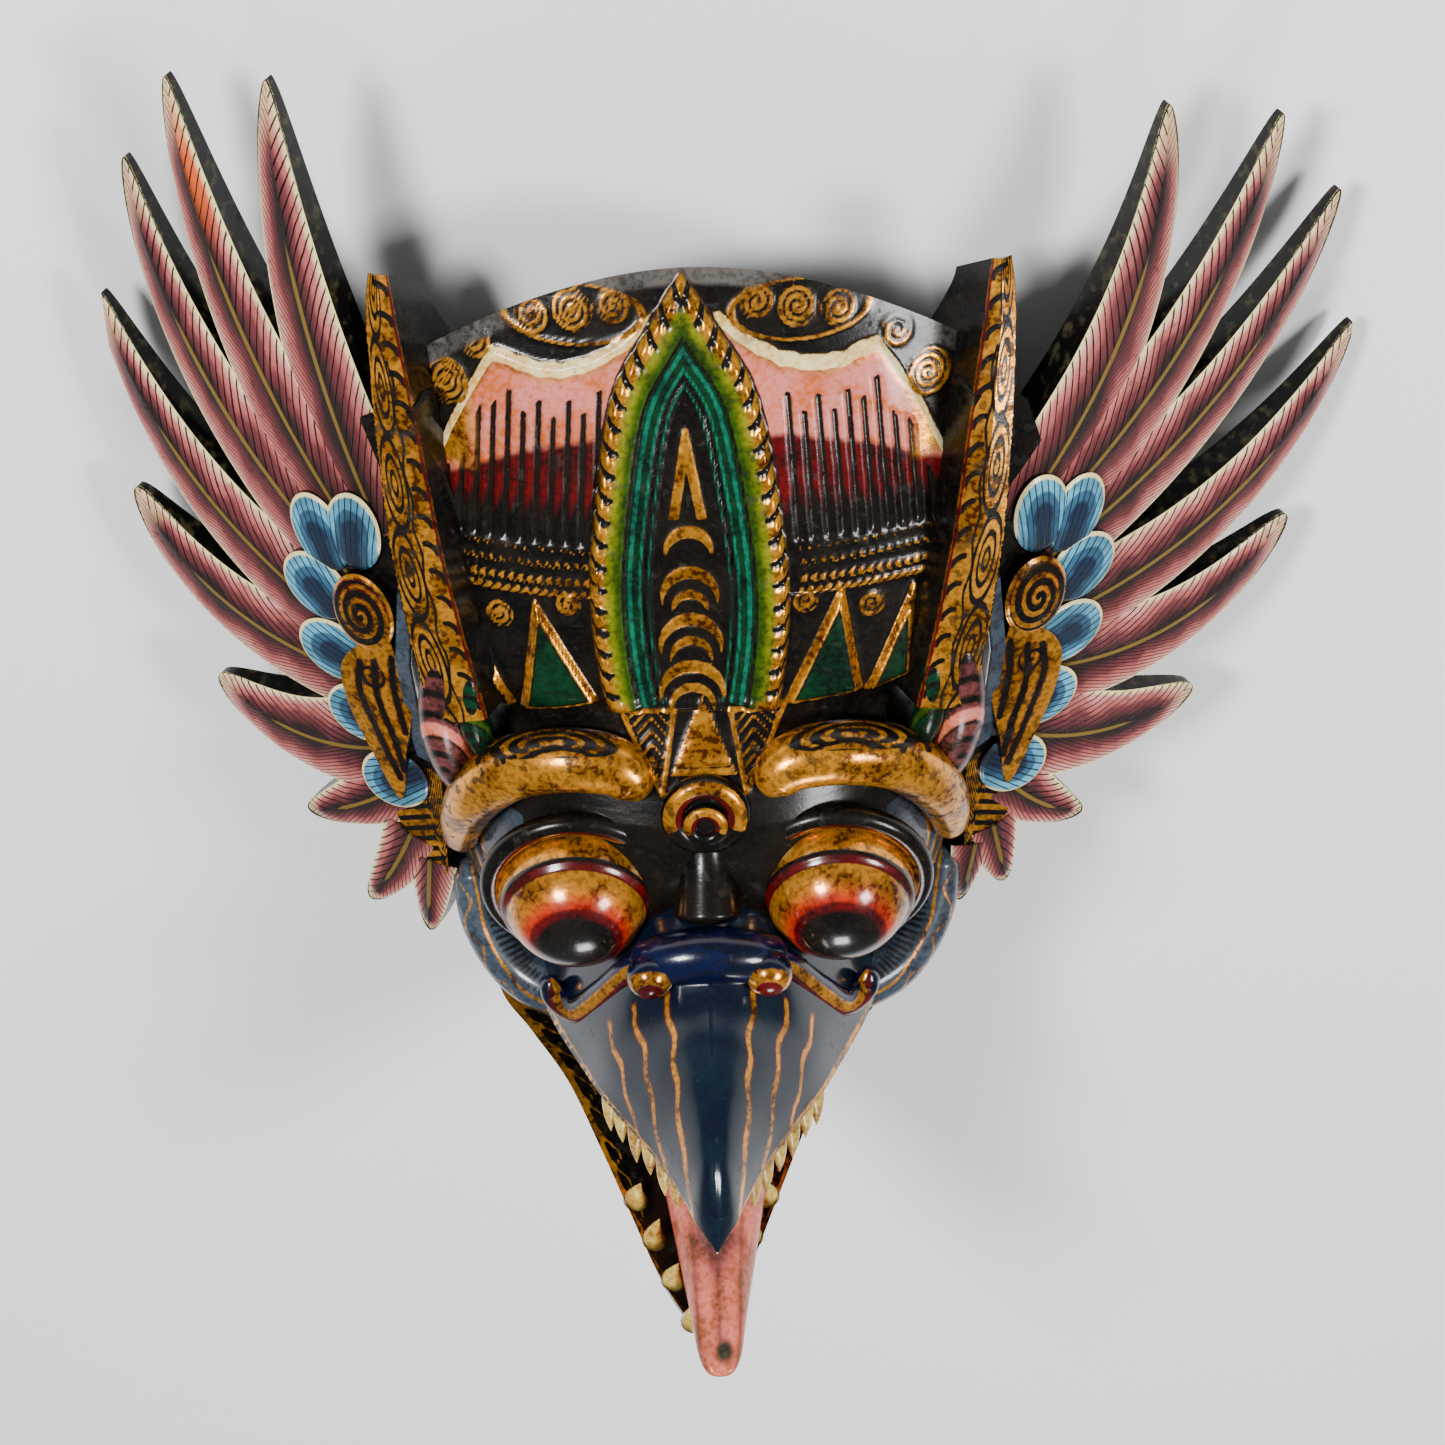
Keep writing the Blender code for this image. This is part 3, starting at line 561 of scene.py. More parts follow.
@dataclass(frozen=True)
class FeatherPaint:
    """Feather with a pale border, a dark middle, a stripe down it and slanting black barbs."""

    name: str
    border: Pigment = Pigment.CREAM
    flesh: tuple[int, int, int] = (214, 146, 138)
    salmon: tuple[int, int, int] = (176, 96, 92)
    maroon: tuple[int, int, int] = (104, 50, 54)
    dusk: tuple[int, int, int] = (44, 32, 32)
    stripe: tuple[int, int, int] = (118, 94, 40)
    orange: tuple[int, int, int] = (222, 96, 36)
    finish: Finish = Finish(0.3, 0.5, 0.3, 0.1)

    def build(self) -> bpy.types.Material:
        """Make the material.

        Returns:
            The finished material.
        """
        graph = Graph(self.name)
        inset = graph.attribute("inset")
        middle = graph.attribute("middle")
        share = graph.attribute("share")
        barb = graph.attribute("barb")
        brush = graph.noise(95.0, 5.0, (1.0, 0.35, 1.0)) - 0.5
        ragged = graph.noise(700.0, 2.0) - 0.5
        place = share + brush * 0.75
        colour = graph.mix(graph.step(place, 0.10, 0.34), linear(*self.flesh), linear(*self.salmon))
        colour = graph.mix(graph.step(place, 0.34, 0.60), colour, linear(*self.maroon))
        colour = graph.mix(graph.step(place, 0.58, 0.92), colour, linear(*self.dusk))
        colour = graph.mix(graph.attribute("orange"), colour, linear(*self.orange))
        pale = graph.step(graph.attribute("tip") + brush * 0.5, 0.35, 0.95)
        colour = graph.mix(pale * 0.45, colour, Pigment.CREAM.value[0])
        rim = graph.step(inset + brush * 1.1, graph.attribute("border"), 0.25)
        colour = graph.mix(rim, colour, self.border.value[0])
        spine = graph.step(middle + brush * 0.5, 0.95, 0.5)
        colour = graph.mix(spine * graph.step(inset, 0.8, 2.4), colour, linear(*self.stripe))
        off = (barb + ragged * 0.10 + brush * 0.9).from_stripe() + brush * 0.16
        line = graph.step(off, 0.15, 0.07) * graph.step(middle, 0.5, 1.1)
        line = line * graph.step(inset + ragged, 0.2, 0.6)
        colour = graph.mix(line * 0.95, colour, Pigment.BLACK.value[0])
        side = graph.attribute("side")
        bark = graph.mix(graph.step(graph.noise(240.0, 8.0), 0.50, 0.72), Pigment.BLACK.value[0],
                         Pigment.UNDERCOAT.value[1])
        colour = graph.mix(graph.step(side, 0.4, 0.6), colour, bark)
        return graph.close(colour, self.finish, line * -0.25 + spine * 0.2)


@dataclass(frozen=True)
class PetalPaint:
    """Blue petal with a cream border, rings of blue and thin black stripes."""

    name: str
    finish: Finish = Finish(0.25, 0.6, 0.3, 0.4)

    def build(self) -> bpy.types.Material:
        """Make the material.

        Returns:
            The finished material.
        """
        graph = Graph(self.name)
        inset = graph.attribute("inset")
        brush = graph.noise(260.0, 3.0) - 0.5
        tone = graph.step(graph.noise(90.0, 4.0), 0.35, 0.65)
        colour = graph.mix(tone, Pigment.SKY.value[0], Pigment.SKY.value[1])
        slate = graph.mix(tone, Pigment.SLATE.value[0], Pigment.SLATE.value[1])
        colour = graph.mix(graph.step(inset + brush * 1.2, 3.6, 4.5), colour, slate)
        colour = graph.mix(graph.step(inset + brush * 1.2, 6.0, 7.4), colour, Pigment.NAVY.value[0])
        colour = graph.mix(graph.step(inset + brush * 0.6, 1.25, 0.75), colour, Pigment.CREAM.value[0])
        off = (graph.attribute("barb") + brush * 0.12).from_stripe()
        line = graph.step(off, 0.14, 0.07) * graph.step(inset, 0.6, 1.2)
        colour = graph.mix(line * 0.9, colour, Pigment.BLACK.value[0])
        colour = graph.mix(graph.step(graph.attribute("side"), 0.4, 0.6), colour, Pigment.BLACK.value[1])
        return graph.close(colour, self.finish, line * -0.2)


class Body:
    """A closed carved piece made from a grid whose vertices are moved to their places."""

    def __init__(self, name: str, columns: int, rows: int, place: Place) -> None:
        """Make the grid with its tracks and move it to its place.

        Args:
            name: name of the piece.
            columns: faces across the grid.
            rows: faces along the grid.
            place: puts the grid's shares in their places.
        """
        self.name = name
        self.bm = bmesh.new()
        bmesh.ops.create_grid(self.bm, x_segments=columns, y_segments=rows, size=1.0)
        self.tracks = {key: self.bm.verts.layers.float.new(key) for key in ("u", "w", "side")}
        self.u = self.w = self.side = np.zeros(0)
        for vert in self.bm.verts:
            vert[self.tracks["u"]] = (vert.co.x + 1) / 2
            vert[self.tracks["w"]] = (vert.co.y + 1) / 2
        self.set(list(self.bm.verts), place)

    def values(self, verts: list, key: str) -> Array:
        """One track read from vertices."""
        return np.array([vert[self.tracks[key]] for vert in verts])

    def set(self, verts: list, place: Place) -> None:
        """Move vertices to where a function of their two tracks puts them."""
        for vert, spot in zip(verts, place(self.values(verts, "u"), self.values(verts, "w"))):
            vert.co = spot

    def drop(self, *places: Place) -> "Body":
        """Carry the open edge on to each new place in turn.

        Args:
            places: where each new edge goes.

        Returns:
            The body.
        """
        for place in places:
            edge = [e for e in self.bm.edges if e.is_boundary]
            made = bmesh.ops.extrude_edge_only(self.bm, edges=edge)["geom"]
            verts = [part for part in made if isinstance(part, bmesh.types.BMVert)]
            self.set(verts, place)
            for vert in verts:
                vert[self.tracks["side"]] = 1.0
        return self

    def weld(self, gap: float = 1e-4) -> "Body":
        """Merge vertices that lie together."""
        bmesh.ops.remove_doubles(self.bm, verts=self.bm.verts[:], dist=gap)
        return self

    def cap(self) -> "Body":
        """Close whatever is still open.

        Returns:
            The body.
        """
        edge = [e for e in self.bm.edges if e.is_boundary]
        bmesh.ops.holes_fill(self.bm, edges=edge, sides=0)
        return self

    def finish(self, paint: bpy.types.Material, areas: Marks, slot: str,
               sharp: float = 50.0) -> bpy.types.Object:
        """Turn the body into an object with its painted areas.

        Args:
            paint: its material.
            areas: makes the painted areas from the points in millimetres.
            slot: name of a material slot; not used.
            sharp: angle in degrees above which an edge stays sharp.

        Returns:
            The object.
        """
        self.cap()
        bmesh.ops.recalc_face_normals(self.bm, faces=self.bm.faces[:])
        verts = list(self.bm.verts)
        points = np.array([vert.co for vert in verts])
        self.u = self.values(verts, "u")
        self.w = self.values(verts, "w")
        self.side = self.values(verts, "side")
        # every piece starts with no painted shade; its marks may add some
        painted = {"recess": np.zeros(len(verts)), **areas(self, points)}
        mesh = bpy.data.meshes.new(self.name)
        self.bm.to_mesh(mesh)
        self.bm.free()
        mesh.vertices.foreach_set("co", SPACE.place(points).ravel())
        for key, value in painted.items():
            track = mesh.attributes.get(key) or mesh.attributes.new(key, "FLOAT", "POINT")
            track.data.foreach_set("value", np.full(len(verts), value, np.float32))
        mesh.shade_smooth()
        mesh.set_sharp_from_angle(angle=math.radians(sharp))
        mesh.materials.append(paint)
        item = bpy.data.objects.new(self.name, mesh)
        bpy.context.scene.collection.objects.link(item)
        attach(item, "root")
        return item


class PaintBox:
    """All materials, each made once."""

    def __init__(self) -> None:
        """Mix every paint."""
        gold = Layer("gold", Pigment.GOLD)
        self.head = LayeredPaint("crown_paint", Pigment.BLACK, (
            Layer("panel", Pigment.PINK), Layer("wine", Pigment.WINE, 1.5),
            Layer("dark", Pigment.BLACK, 4.0), Layer("groove", Pigment.BLACK),
            Layer("stain", Pigment.GOLD, 3.0), Layer("border", Pigment.CREAM), Layer("ink", Pigment.BLACK),
            Layer("leaf", Pigment.YELLOW_GREEN), Layer("leaf_gold", Pigment.GOLD, 1.2),
            Layer("leaf_green", Pigment.GREEN, 1.6), Layer("leaf_dark", Pigment.DARK_GREEN),
            Layer("leaf_teal", Pigment.TEAL, 0.2), Layer("black", Pigment.BLACK),
            Layer("green", Pigment.DARK_GREEN), Layer("grey", Pigment.GREY_BLUE), gold,
            Layer("wood", Pigment.GREY_WOOD, 1.0), Layer("inside", Pigment.RAW_WOOD, 1.0))).build()
        self.gilt = LayeredPaint("gilt_carving", Pigment.BLACK, (
            gold, Layer("notch", Pigment.BLACK, 0.25),
            Layer("wine", Pigment.WINE, 0.3)), Finish(0.75, 0.8, 0.22, 0.1)).build()
        self.beak = LayeredPaint("beak_paint", Pigment.BEAK, (
            Layer("wine", Pigment.WINE, 0.5), gold),
            Finish(0.12, 0.5, 0.18, 0.5)).build()
        self.cere = LayeredPaint("cere_paint", Pigment.BLUE, (
            Layer("wine", Pigment.WINE, 0.5), gold), Finish(0.1, 0.5, 0.2, 0.5)).build()
        self.plate = LayeredPaint("plate_paint", Pigment.GREY_BLUE, (
            Layer("groove", Pigment.BLACK, 0.4), gold), Finish(0.5, 0.7, 0.35, 0.4)).build()
        self.rose = LayeredPaint("rose_paint", Pigment.ROSE_BROWN, (
            Layer("groove", Pigment.BLACK, 0.3), Layer("border", Pigment.PINK, 0.3))).build()
        self.green = LayeredPaint("green_paint", Pigment.DARK_GREEN, (
            Layer("groove", Pigment.BLACK, 0.3), Layer("border", Pigment.GREEN, 0.3))).build()
        self.eye = LayeredPaint("eye_paint", Pigment.BLACK, (
            gold, Layer("red", Pigment.RED, 4.5), Layer("wine", Pigment.WINE, 0.9),
            Layer("pupil", Pigment.BLACK, 1.2)), Finish(0.3, 0.5, 0.2, 0.5)).build()
        self.tongue = LayeredPaint("tongue_paint", Pigment.TONGUE, (
            Layer("wine", Pigment.ROSE_BROWN, 2.5), Layer("groove", Pigment.UNDERCOAT, 1.4)),
            Finish(0.2, 0.9, 0.36, 0.35)).build()
        self.ivory = LayeredPaint("tooth_paint", Pigment.IVORY, (
            Layer("groove", Pigment.UNDERCOAT, 2.0),), Finish(0.2, 0.9, 0.36, 0.35)).build()
        self.feather = FeatherPaint("feather_paint").build()
        self.petal = PetalPaint("petal_paint").build()


@dataclass(frozen=True)
class HeadShell:
    """The carved block: crown front with its relief, face ground, sides, rim and hollow back."""

    paints: PaintBox
    leaf_corners: tuple = ((-3, 142), (-14, 126), (-26, 105), (-33, 66), (-35, 39), (-33, 13), (-28, -14),
                           (-24, -40), (18, -40), (22, -14), (27, 13), (29, 39), (27, 66), (20, 105),
                           (8, 126))
    leaf_middle: int = -3
    border: tuple = ((-92, 66), (-86, 77), (-78, 95), (-70, 109), (-64, 118), (-58, 116.5), (-50, 114.5),
                     (-42, 114.5), (-32, 117.5), (-22, 123), (-13, 130), (9, 130), (18, 123), (28, 117.5),
                     (38, 115), (48, 115), (55, 117.5), (60, 118), (66, 109), (75, 94), (83, 76), (90, 64))
    step: tuple = ((-92, 70), (-83, 76), (-57, 87), (-30, 93), (30, 93), (57, 87), (83, 76), (92, 70))
    spears: tuple = (((-54, 37), (-60, -4), (-35, 4)), ((-79, 36), (-74, -10), (-63, -4)),
                     ((47, 40), (28, 2), (53, 3)), ((71, 36), (55, 2), (70, 6)))
    curls: tuple = ((-51, 129, 5.5), (-38, 131, 6.5), (-25, 133, 5.5), (-80, 105, 7.5), (-70, 119, 5.5),
                    (21, 133, 5.5), (34, 131, 6.5), (47, 129, 5.5), (66, 119, 5.5), (76, 104, 7.5),
                    (-66, 31, 4.5), (-43, 37, 4), (35, 37, 4), (57, 33, 4.5))
    curl_pitch: float = 2.3
    lenses: tuple = (-38, 35)
    fan: tuple = ((56, 31, 85), (118, 27, 80))
    flute_count: int = 11
    flute_depth: float = 1.3
    dot_rows: tuple = ((41, 0.95), (45.5, 0.8), (51, 0.6), (56, 0.45))
    dot_pitch: float = 3.1
    arcs: tuple = ((57, 8, 3.6), (42, 9.5, 3.6), (25, 10.5, 3.6), (8, 11, 3.6), (37.5, 6, 2.6),
                   (20.5, 7, 2.6), (3.5, 7.5, 2.6))
    notch_pitch: float = 7.6
    wedge: tuple = ((9, 2), (28, 2), (21, -13), (14, -25))
    cheek_bands: tuple = (33, 37.5, 42)
    chin: tuple = ((0, -165.5), (8, -165), (36, -161), (65, -152), (83, -136), (91, -110))
    chin_half: int = 91
    side_half: int = 97
    middle: int = 10
    half_height: int = 155
    hollow_floor: int = 4
    relief: tuple = (("leaf", 3.6, 0.5, 1.4), ("leaf_dark", -1.6, 0.5, 1.2), ("leaf_gold", 0.9, 0.3, 1.0),
                     ("panel", 1.5, 0.4, 1.0), ("spear_depth", 2.6, 0.4, 1.6), ("gold", 0.6, 0.4, 0.8),
                     ("black", -1.0, 0.2, 0.8))
    skirt_shares: tuple = (0.03, 0.2, 0.4, 0.6, 0.8, 1.0)
    hollow_shares: tuple = (0.98, 0.9, 0.75, 0.6, 0.45, 0.3, 0.15, 0.05)

    def outline(self, u: Array, w: Array) -> tuple[Array, Array]:
        """Plan of the front: two shares of the grid to millimetres.

        Args:
            u: shares across the grid.
            w: shares up the grid.

        Returns:
            Places across and up the mask in millimetres.
        """
        side = 2 * u - 1
        bottom = read(self.chin, np.abs(side) * self.chin_half)
        top = HEAD.crown_rise - HEAD.arch * side ** 2
        y = bottom + (top - bottom) * w
        low = 1 - ease((y + 165) / 55)
        return side * (read(HEAD.side_line, y) * (1 - low) + self.chin_half * low), y

    def areas(self, x: Array, y: Array) -> Areas:
        """Painted areas of the front, as depths inside them in millimetres.

        Args:
            x: places across the mask in millimetres.
            y: places up the mask in millimetres.

        Returns:
            Depths inside the areas, by name.
        """
        deep = within(x, y, self.leaf_line())
        leaf = both(deep, y - 1)
        crown = y - 8
        border = read(self.border, x)
        panel = both(border - y, y - 40, -leaf)
        rim = 2.0 - np.abs(border - y - 1.8 + 0.5 * np.abs(np.sin(x * math.pi / 7)))
        place, gap, fluted = self.flutes(x, y, border)
        lens = join(*[1 - np.hypot((x - middle) / 21, (y - 130) / 8.5) for middle in self.lenses]) * 9
        spear = join(*[within(x, y, line) for line in self.spears])
        gold = join(self.crown_gold(x, y, lens), both(1.1 - np.abs(spear - 0.4), -leaf),
                    self.forehead(x, y), self.cheek_lines(x, y))
        return {
            "panel": both(panel, crown),
            "wine": both(read(self.step, x) - y, panel),
            "wood": both(y - 139 + HEAD.arch * (x / self.side_half) ** 2, -lens - 1, -leaf - 1),
            "dark": both(71 - y + 2.5 * np.sin(np.abs(place) * 2 * math.pi), panel + 3),
            "groove": both(0.95 - gap, fluted, panel),
            "stain": both(join(6 - (border - y), np.abs(x) - 70), panel + 0.5, y - 78) - 2,
            "border": both(rim, crown, -leaf),
            # black band just outside the raised leaf: an outline, and painted shade at the leaf's foot
            "ink": both(1.5 + leaf, -leaf + 0.3, crown + 8),
            **self.leaf_areas(x, y, deep),
            "green": both(spear - 2.2, -leaf),
            "gold": gold,
            "grey": both(-y - 44, np.abs(x) - 62),
            "fluted": np.where(both(fluted, panel) > 0, np.clip(1 - gap / 1.6, 0, 1), 0),
            "spear_depth": spear,
        }

    def flutes(self, x: Array, y: Array, border: Array) -> tuple[Array, Array, Array]:
        """Flutes of the panels, which spread a little towards the brow.

        Args:
            x: places across the mask in millimetres.
            y: places up the mask in millimetres.
            border: height of the panels' top at each place.

        Returns:
            Number of the flute, distance from its middle, and depth inside the fluted field.
        """
        inner, outer = read(self.fan, y, 1), read(self.fan, y, 2)
        place = (np.abs(x) - inner) / (outer - inner) * self.flute_count - 0.5
        gap = np.abs(place - np.round(place)) * (outer - inner) / self.flute_count
        top = border - 11 - 5 * (np.round(place) % 2)
        return place, gap, both(top - y, y - 58, np.abs(x) - inner + 1, outer + 1.5 - np.abs(x))

    def crown_gold(self, x: Array, y: Array, lens: Array) -> Array:
        """Gold curls, waves, dots and arcs of the crown.

        Args:
            x: places across the mask in millimetres.
            y: places up the mask in millimetres.
            lens: depth inside the lenses.

        Returns:
            Depths inside the line or area.
        """
        curls = [spiral(x, y, curl[:2], curl[2], self.curl_pitch, np.sign(curl[0])) for curl in self.curls]
        tick = (((x + 1.2 * np.sin(y)) / self.dot_pitch) % 1.0 - 0.5) * self.dot_pitch
        dots = [both(size - np.hypot(tick, (y - row) * 0.55), np.abs(x) - 33, 81 - np.abs(x))
                for row, size in self.dot_rows]
        arcs = [crescent(x, y, (self.leaf_middle, row), size, thick) for row, size, thick in self.arcs]
        chevron = both(1.6 - np.abs(np.abs(x - self.leaf_middle) * 5.4 + y - 92) * 0.19, y - 67, 96 - y)
        return join(*curls, 0.45 - np.abs(lens + 0.6), *dots, *arcs, chevron)

    def leaf_areas(self, x: Array, y: Array, deep: Array) -> Areas:
        """Rings and notched border of the central leaf.

        Args:
            x: places across the mask in millimetres.
            y: places up the mask in millimetres.
            deep: depth inside the leaf's outline.

        Returns:
            Depths inside the areas, by name.
        """
        leaf = both(deep, y - 1)
        above = y + 2
        _, run = nearest(x, y, self.leaf_line(), True)
        beat = ((run / self.notch_pitch) % 1.0 - 0.5) * self.notch_pitch
        bend = np.where(x < self.leaf_middle, -1, 1) * leaf * 0.75
        notch = both(1.3 - np.abs(beat + bend) + 0.14 * leaf, 5.0 - leaf, leaf + 0.6)
        teal = join(0.7 - np.abs(deep - 12.4), 0.5 - np.abs(deep - 15.6), 0.35 - np.abs(deep - 18.4))
        black = join(both(deep - 16.4, 18 - deep), deep - 19, 0.6 - np.abs(deep - 10.2))
        return {"leaf": both(leaf, above), "leaf_gold": both(4.0 - leaf, leaf, above),
                "leaf_green": both(deep - 7.0, 12 - deep, leaf), "leaf_dark": both(deep - 10.5, leaf),
                "leaf_teal": both(teal, leaf), "black": join(notch, both(black, leaf))}

    def leaf_line(self) -> Array:
        """Smooth outline of the central leaf."""
        return smooth_line([*self.leaf_corners, self.leaf_corners[0]], 4)[:-1]

    def forehead(self, x: Array, y: Array) -> Array:
        """Gold marks of the forehead.

        Args:
            x: places across the mask in millimetres.
            y: places up the mask in millimetres.

        Returns:
            Depths inside the line or area.
        """
        a = np.abs(x)
        triangle = both(y + 19, 6 - y - a * 2.3)
        triangle = both(triangle, np.abs(triangle - 2.2) - 0.35)
        wedge = within(a, y, self.wedge)
        veins = both(0.5 - np.abs(((y + np.abs(a - 17) * 1.1) / 3.9) % 1.0 - 0.5) * 3.9, wedge - 1.3)
        return join(triangle, 0.7 - np.abs(wedge), veins)

    def cheek_lines(self, x: Array, y: Array) -> Array:
        """Gold lines of the cheeks.

        Args:
            x: places across the mask in millimetres.
            y: places up the mask in millimetres.

        Returns:
            Depths inside the line or area.
        """
        a = np.abs(x)
        bands = [0.7 - np.abs(np.hypot(a - 45, (y + 71) * 1.05) - radius) for radius in self.cheek_bands]
        return both(join(*bands), -58 - y, a - 30)

    def front(self, u: Array, w: Array) -> Array:
        """Front with its relief, which fades out at the open edge.

        Args:
            u: shares across the grid.
            w: shares up the grid.

        Returns:
            Points in millimetres, one row each.
        """
        x, y = self.outline(u, w)
        marks = self.areas(x, y)
        open_edge = np.minimum(np.minimum(u, 1 - u), 1 - w)
        lift = 0.9 * np.clip(marks["spear_depth"], 0, 3) / 3 - self.flute_depth * marks["fluted"]
        for area, height, reach, soft in self.relief:
            lift += height * ease((marks[area] + reach) / soft)
        return np.stack([x, y, HEAD.front(x, y) + lift * ease(open_edge / 0.02)], -1)

    def skirt(self, share: float, inset: float = 0.0) -> Place:
        """Side of the head at a share of the way down, drawn in by an inset.

        Args:
            share: share of the way down.
            inset: how far it is drawn in, in millimetres.

        Returns:
            What places the edge.
        """
        def place(u: Array, w: Array) -> Array:
            """Point of the side below a point of the front's edge.

            Args:
                u: shares across the grid.
                w: shares up the grid.

            Returns:
                Points in millimetres, one row each.
            """
            x, y = self.outline(u, w)
            top = HEAD.front(x, y)
            z = top * (1 - share)
            fall = HEAD.slope(y, z) - HEAD.slope(y, top)
            y = (y - fall + self.middle) * (1 - inset / self.half_height) - self.middle
            return np.stack([x * (1 - inset / self.side_half), y, z], -1)
        return place

    def inside(self, shrink: float) -> Place:
        """Hollow of the head, drawn in to a share of its width.

        Args:
            shrink: share of the full width.

        Returns:
            What places the edge.
        """
        def place(u: Array, w: Array) -> Array:
            """Point of the hollow under the front.

            Args:
                u: shares across the grid.
                w: shares up the grid.

            Returns:
                Points in millimetres, one row each.
            """
            x, y = self.outline(u, w)
            top = np.maximum(HEAD.front(x * 0.86, y * 0.9 - 1) - HEAD.hollow_margin, self.hollow_floor)
            fall = HEAD.slope(y, top) - HEAD.slope(y, HEAD.front(x, y))
            x = x * (1 - HEAD.wall / self.side_half) * shrink
            y = ((y - fall + self.middle) * (1 - HEAD.wall / self.half_height)) * shrink - self.middle
            z = np.maximum(HEAD.front(x, y) - HEAD.hollow_margin, self.hollow_floor)
            return np.stack([x, y, z], -1)
        return place

    def marks(self, done: Body, points: Array) -> Areas:
        """Painted areas of the whole block.

        Args:
            done: the finished body.
            points: its points in millimetres.

        Returns:
            Depths inside the areas, by name.
        """
        x, y, z = points.T
        outer = done.side < 0.5
        marks = {key: np.where(outer, depth, NOWHERE) for key, depth in self.areas(x, y).items()}
        plan_x, plan_y = self.outline(done.u, done.w)
        fall = HEAD.slope(plan_y, z) - HEAD.slope(plan_y, HEAD.front(plan_x, plan_y))
        marks["inside"] = np.where(outer, NOWHERE, np.hypot(x - plan_x, y - plan_y + fall) - 6)
        marks["wood"] = np.where(outer, marks["wood"], np.where(y < 60, NOWHERE, 4.0))
        # Painted shade: darker down in the flutes, a little on the leaf's black rings, and over the face
        # ground below the brow, where it shows between the eyes, brows, cheeks and beak.
        recess = np.clip(marks.pop("fluted"), 0, 1) * 0.9 + np.clip(marks["black"], 0, 1) * 0.2
        marks["recess"] = recess + np.where(outer & (y < -30), 0.35, 0.0)
        del marks["spear_depth"]
        return marks

    def build(self) -> bpy.types.Object:
        """Make the head's block.

        Returns:
            The object.
        """
        body = Body("head_block", 200, 300, self.front)
        body.drop(*[self.skirt(share) for share in self.skirt_shares])
        body.drop(self.skirt(1.0, HEAD.wall), *[self.inside(shrink) for shrink in self.hollow_shares])
        return body.finish(self.paints.head, self.marks, "head_paint", 70)


@dataclass(frozen=True)
class Blade:
    """Flared side blade of the crown, gilt in front and black inside."""

    paints: PaintBox
    side: int
    line: tuple = ((0, 90, 72), (28, 95.5, 78), (60, 100, 84), (96, 102.5, 89), (128, 103.5, 94),
                   (138, 103, 95), (145, 102, 96))
    parts: tuple = ((0.0, 0), (0.25, 1), (0.5, 2), (0.75, 3), (0.85, 4), (1.0, 0))
    height: int = 145
    depth: int = 36
    fall: int = 29
    flare: int = 20
    crest: float = 0.5
    foot: int = 18
    comma_pitch: float = 9.0
    leaf_pitch: int = 30
    rib: float = 0.40

    def place(self, u: Array, w: Array) -> Array:
        """Point of the blade at a share around its section and a share up it.

        Args:
            u: shares across the grid.
            w: shares up the grid.

        Returns:
            Points in millimetres, one row each.
        """
        y = self.height * w
        outer, inner = read(self.line, y, 1), read(self.line, y, 2)
        front = HEAD.crown(0 * y, y) + 1.5
        crest = self.crest * ease((y - 118) / 27)
        depth = np.minimum(self.depth, front - self.foot) * (1 - crest)
        back = y - self.fall * depth / self.depth * ease(y / HEAD.crown_rise)
        foot = inner - self.flare * (1 - crest)
        corners = [(outer, y, front - 1.5), ((outer + inner) / 2, y, front + 0.8), (inner, y, front),
                   (foot, back, front - depth), (outer - 2, back, front - depth)]
        result = np.zeros((len(u), 3))
        for (start, a), (end, b) in zip(self.parts, self.parts[1:]):
            share = np.clip((u - start) / (end - start), 0, 1)[:, None]
            here = ((u >= start) & (u <= end))[:, None]
            first, second = np.stack(corners[a], -1), np.stack(corners[b], -1)
            result = np.where(here, first + (second - first) * share, result)
        return result * np.array([self.side, 1, 1])

    def marks(self, done: Body, points: Array) -> Areas:
        """Gilt front with comma notches on its inner band and ringed leaves on its outer one.

        Args:
            done: the finished body.
            points: its points in millimetres; not used.

        Returns:
            Depths inside the areas, by name.
        """
        y = done.w * self.height
        width = read(self.line, y, 1) - read(self.line, y, 2)
        across = (0.5 - done.u) * 2 * width
        share = across / width
        face = both(across + 0.4, width - across + 0.4, 60 * (0.5 - done.u) + 0.4)
        beat = ((y / self.comma_pitch) % 1.0 - 0.5) * self.comma_pitch - across * 0.7
        comma = both(2.2 - np.hypot(beat, (across - 2.4) * 0.8),
                     np.hypot(beat + 1.6, (across - 3.2) * 0.8) - 1.3)
        leaf_at = ((y - share * 9) / self.leaf_pitch) % 1.0 - 0.5
        ring = np.hypot(leaf_at * 2.1, (share - 0.70) / 0.26)
        lines = join(0.10 - np.abs(ring - 1), 0.09 - np.abs(ring - 0.6), 0.08 - np.abs(ring - 0.25)) * 8
        groove = both(lines, across - width * self.rib, width - across - 0.6)
        rib = both(0.5 - np.abs(across - width * self.rib + 0.6 * np.sin(y * 0.35)), 120 - y)
        notch = both(join(comma, groove, rib), face)
        # Painted shade: the last value darkens the notches further.
        return {"gold": face, "notch": notch, "wine": both(0.55 - np.abs(across), face),
                "recess": np.clip(notch, 0, 1) * 0.5}

    def build(self) -> bpy.types.Object:
        """Make the blade."""
        body = Body(f"blade_{side_name(self.side)}", 80, 180, self.place).weld()
        return body.finish(self.paints.gilt, self.marks, "head_paint", 40)


def side_name(side: int) -> str:
    """Name of the viewer's side."""
    return "right" if side > 0 else "left"


